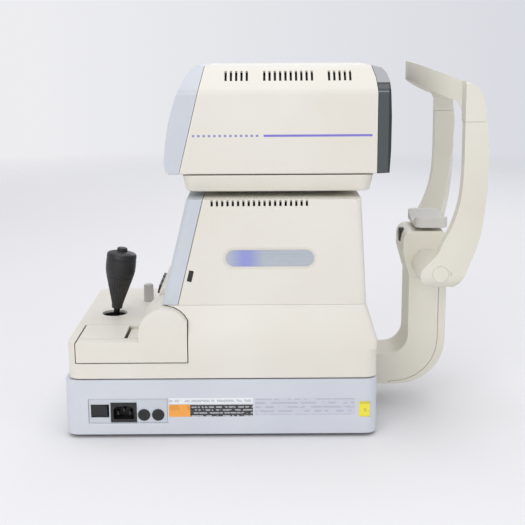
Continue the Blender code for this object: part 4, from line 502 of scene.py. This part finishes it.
stickAxis = next(joint for joint in frame["joints"] if joint["child"] == "joystick_grip")
grip = {
    # from the rim of the stem's bore up the outside, over the crown and down into the button's well
    "profile": [
        (0.0240, 0.0046), (0.0240, 0.0062), (0.0244, 0.0067), (0.0300, 0.0072, 1), (0.0390, 0.0096, 1),
        (0.0480, 0.0121, 1), (0.0570, 0.0146, 1), (0.0650, 0.0169), (0.0655, 0.0164), (0.0664, 0.0164),
        (0.0669, 0.0173), (0.0700, 0.0180), (0.0740, 0.0187), (0.0800, 0.0190), (0.0880, 0.0189),
        (0.0886, 0.0184), (0.0893, 0.0184), (0.0899, 0.0189), (0.0945, 0.0187), (0.0958, 0.0181),
        (0.0968, 0.0166), (0.0980, 0.0125), (0.0992, 0.0086), (0.0994, 0.0073), (0.0988, 0.0070),
        (0.0890, 0.0070),
    ],
    "flutes": 28, "fluteDepth": 0.06, "sides": 112,
}
stickMesh = turnedPiece("joystick_grip_skin", stickAxis["pos_m"], stickAxis["axis"], grip)
addPiece("joystick_grip_skin", stickMesh, "joystick_grip", "black_plastic", blackAbs, "joystick_grip")

knobPlace = next(joint for joint in frame["joints"] if joint["child"] == "lock_knob")["pos_m"]
knob = {
    # from the foot of its shaft up over the collar and the ribbed grip to the dimple in its top
    "profile": [
        (-0.0120, 0.0029), (0.0, 0.0030), (0.0, 0.0064), (0.0004, 0.0068), (0.0034, 0.0067), (0.0037, 0.0063),
        (0.0044, 0.0063), (0.0047, 0.0066, 1), (0.0205, 0.0063, 1), (0.0215, 0.0061, 0.5), (0.0222, 0.0054),
        (0.0225, 0.0046), (0.0222, 0.0040), (0.0219, 0.0020),
    ],
    "flutes": 24, "fluteDepth": 0.10, "sides": 96,
}
knobMesh = turnedPiece("lock_knob_skin", knobPlace, (0, 0, 1), knob)
addPiece("lock_knob_skin", knobMesh, "lock_knob", "knob_grey", knobNylon, "lock_knob")
print("turned pieces made")


# Plate with round corners: its outline is a quarter circle of the radius at each corner, carried from the
# front face to the back. across and up are the plate's own axes.
def platePiece(name, middle, across, up, size, radius, thick):
    corner = np.linspace(0, np.pi / 2, 6)
    angles = np.concatenate([corner + quarter * np.pi / 2 for quarter in range(4)])
    signs = np.repeat([(1, 1), (-1, 1), (-1, -1), (1, -1)], 6, axis=0)
    flat = signs * (np.array(size) / 2 - radius) + radius * np.stack([np.cos(angles), np.sin(angles)], 1)
    across, up = np.array(across, float), np.array(up, float)
    out = np.cross(across, up)
    ring = np.array(middle) + flat[:, :1] * across + flat[:, 1:] * up
    count = len(ring)
    here = np.arange(count)
    after = (here + 1) % count
    sides = np.stack([here, here + count, after + count, after], 1)
    mesh = bpy.data.meshes.new(name)
    points = np.concatenate([ring + out * thick / 2, ring - out * thick / 2])
    caps = [here.tolist(), (here + count)[::-1].tolist()]
    mesh.from_pydata(points.tolist(), [], sides.tolist() + caps)
    return mesh


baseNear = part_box("base_housing")[0].y
labels = {
    "label_orange": {
        "place": (-0.1107, 0.0335), "size": (0.0262, 0.0150), "ground": "#F3A64A", "ink": "#C07F2E",
        "inkShare": 0.35, "rowPitch": 0.0150, "breaks": 90.0,
    },
    "label_black": {
        "place": (-0.0620, 0.0335), "size": (0.0735, 0.0145), "ground": "#3A3A3C", "ink": "#C9CBCE",
        "inkShare": 0.75, "rowPitch": 0.0036, "breaks": 320.0,
    },
    "label_white": {
        "place": (-0.0745, 0.0455), "size": (0.0985, 0.0070), "ground": "#E9EBEF", "ink": "#A9ADB6",
        "inkShare": 0.6, "rowPitch": 0.0070, "breaks": 240.0,
    },
    "label_rating": {
        "place": (0.0358, 0.0378), "size": (0.1170, 0.0200), "ground": "#C9CCD6", "ink": "#A7ABB8",
        "inkShare": 0.6, "rowPitch": 0.0050, "breaks": 150.0,
    },
    "label_yellow": {
        "place": (0.1062, 0.0345), "size": (0.0125, 0.0190), "ground": "#EFE243", "ink": "#A7A03A",
        "inkShare": 0.4, "rowPitch": 0.0095, "breaks": 260.0,
    },
}
vinyl = {"corner": 0.0008, "thick": 0.00015, "lift": 0.00008}
for name, look in labels.items():
    place = (look["place"][0], baseNear - vinyl["lift"], look["place"][1])
    mesh = platePiece(name, place, (1, 0, 0), (0, 0, 1), look["size"], vinyl["corner"], vinyl["thick"])
    addPiece(name, mesh, "base", "badge", printedVinyl(name.replace("_", " ") + " printed vinyl", look))

headLow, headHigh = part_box("head_cover")
columnLow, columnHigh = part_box("column_cover")
# each near-black sheet of painted shade lies behind a row of vents: its middle is shift past the casing's middle,
# and inset and drop from the casing's outer face and top
ventShadeSheets = {
    "headSize": (0.160, 0.016), "headShift": 0.014, "headInset": 0.0150, "headDrop": 0.0165,
    "columnSize": (0.125, 0.011), "columnShift": -0.012, "columnInset": 0.0050, "columnDrop": 0.0100,
    "corner": 0.002, "thick": 0.0006,
}
for side, word in ((-1, "near"), (1, "far")):
    for part, body, low, high, up in (
        ("head", "head", headLow, headHigh, (0, -side * math.sqrt(0.5), math.sqrt(0.5))),
        ("column", "stage", columnLow, columnHigh, (0, 0, 1)),
    ):
        middle = (
            (low.x + high.x) / 2 + ventShadeSheets[part + "Shift"],
            side * (high.y - ventShadeSheets[part + "Inset"]),
            high.z - ventShadeSheets[part + "Drop"],
        )
        name = part + "_vent_shade_sheet_" + word
        size = ventShadeSheets[part + "Size"]
        mesh = platePiece(name, middle, (-side, 0, 0), up, size, ventShadeSheets["corner"], ventShadeSheets["thick"])
        # the sheet is painted shade behind the vents
        addPiece(name, mesh, body, "rubber", ventShadeSheet)
print("labels and gauzes made")

studio = {
    "floorRadius": 3.2, "fadeFrom": 1.5, "floor": "#E9E9EB",
    "backLight": "#EDEDF0", "backDark": "#D9DBE2", "worldLight": "#F6F6FA", "worldStrength": 0.74,
}


# Flat round floor: its paint turns clear from fadeFrom outwards, so it runs into the backdrop with no edge
def layFloor():
    angles = np.linspace(0, 2 * np.pi, 96, endpoint=False)
    rim = np.stack([np.cos(angles), np.sin(angles), np.zeros_like(angles)], 1) * studio["floorRadius"]
    mesh = bpy.data.meshes.new("floor")
    mesh.from_pydata(rim.tolist(), [], [list(range(len(rim)))])
    floor = bpy.data.objects.new("floor", mesh)
    bpy.context.scene.collection.objects.link(floor)
    material, tree, coords = startMaterial("matt paper floor")
    reach = addNode(tree, "VectorMath", {0: coords}, out="Value", operation="LENGTH")
    span = studio["floorRadius"] - studio["fadeFrom"]
    fade = {0: reach, 1: 1 / span, 2: -studio["fadeFrom"] / span}
    clear = addNode(tree, "Math", fade, operation="MULTIPLY_ADD", use_clamp=True)
    fibres = addNode(tree, "TexNoise", {"Vector": coords, "Scale": 300.0})
    bump = addNode(tree, "Bump", {"Height": fibres, "Distance": 0.0001})
    paint = {"Base Color": linear(studio["floor"]), "Roughness": 0.8, "Normal": bump}
    paint = addNode(tree, "BsdfPrincipled", paint)
    mixed = addNode(tree, "MixShader", {0: clear, 1: paint, 2: addNode(tree, "BsdfTransparent")})
    addNode(tree, "OutputMaterial", {"Surface": mixed})
    mesh.materials.append(material)


# Pale backdrop, a little darker towards +X, that also lights everything softly
def lightWorld():
    world = bpy.data.worlds.new("backdrop")
    bpy.context.scene.world = world
    world.use_nodes = True
    tree = world.node_tree
    tree.nodes.clear()
    sideways = addNode(tree, "SeparateXYZ", {0: addNode(tree, "TexCoord", out="Generated")})
    share = addNode(tree, "Math", {0: sideways, 1: 2.2, 2: 0.45}, operation="MULTIPLY_ADD", use_clamp=True)
    colour = {0: share, 6: linear(studio["backLight"]), 7: linear(studio["backDark"])}
    colour = addNode(tree, "Mix", colour, out=2, data_type="RGBA")
    seen = addNode(tree, "Background", {"Color": colour, "Strength": 1.0})
    lit = {"Color": linear(studio["worldLight"]), "Strength": studio["worldStrength"]}
    lit = addNode(tree, "Background", lit)
    ray = addNode(tree, "LightPath", out="Is Camera Ray")
    addNode(tree, "OutputWorld", {"Surface": addNode(tree, "MixShader", {0: ray, 1: lit, 2: seen})})


softboxes = {
    "keyBox": {"place": (-0.9, -2.0, 1.2), "size": 1.5, "power": 16.0, "colour": "#FFFDFA"},
    "fillBox": {"place": (1.5, -1.4, 1.0), "size": 1.2, "power": 4.0, "colour": "#F6F8FF"},
    "topBox": {"place": (0.0, 0.2, 2.2), "size": 1.6, "power": 13.0, "colour": "#FFFFFF"},
    "backBox": {"place": (0.4, 2.2, 1.3), "size": 1.5, "power": 6.0, "colour": "#FAFBFF"},
}


# Square area light aimed at the middle of the instrument
def hangSoftbox(name, box):
    light = bpy.data.lights.new(name, "AREA")
    light.size = box["size"]
    light.energy = box["power"]
    light.color = linear(box["colour"])[:3]
    lamp = bpy.data.objects.new(name, light)
    bpy.context.scene.collection.objects.link(lamp)
    aim = Vector((0.0, 0.0, 0.2)) - Vector(box["place"])
    lamp.matrix_world = Matrix.Translation(box["place"]) @ aim.to_track_quat("-Z", "Y").to_matrix().to_4x4()


layFloor()
lightWorld()
for name, box in softboxes.items():
    hangSoftbox(name, box)
print("studio lit")
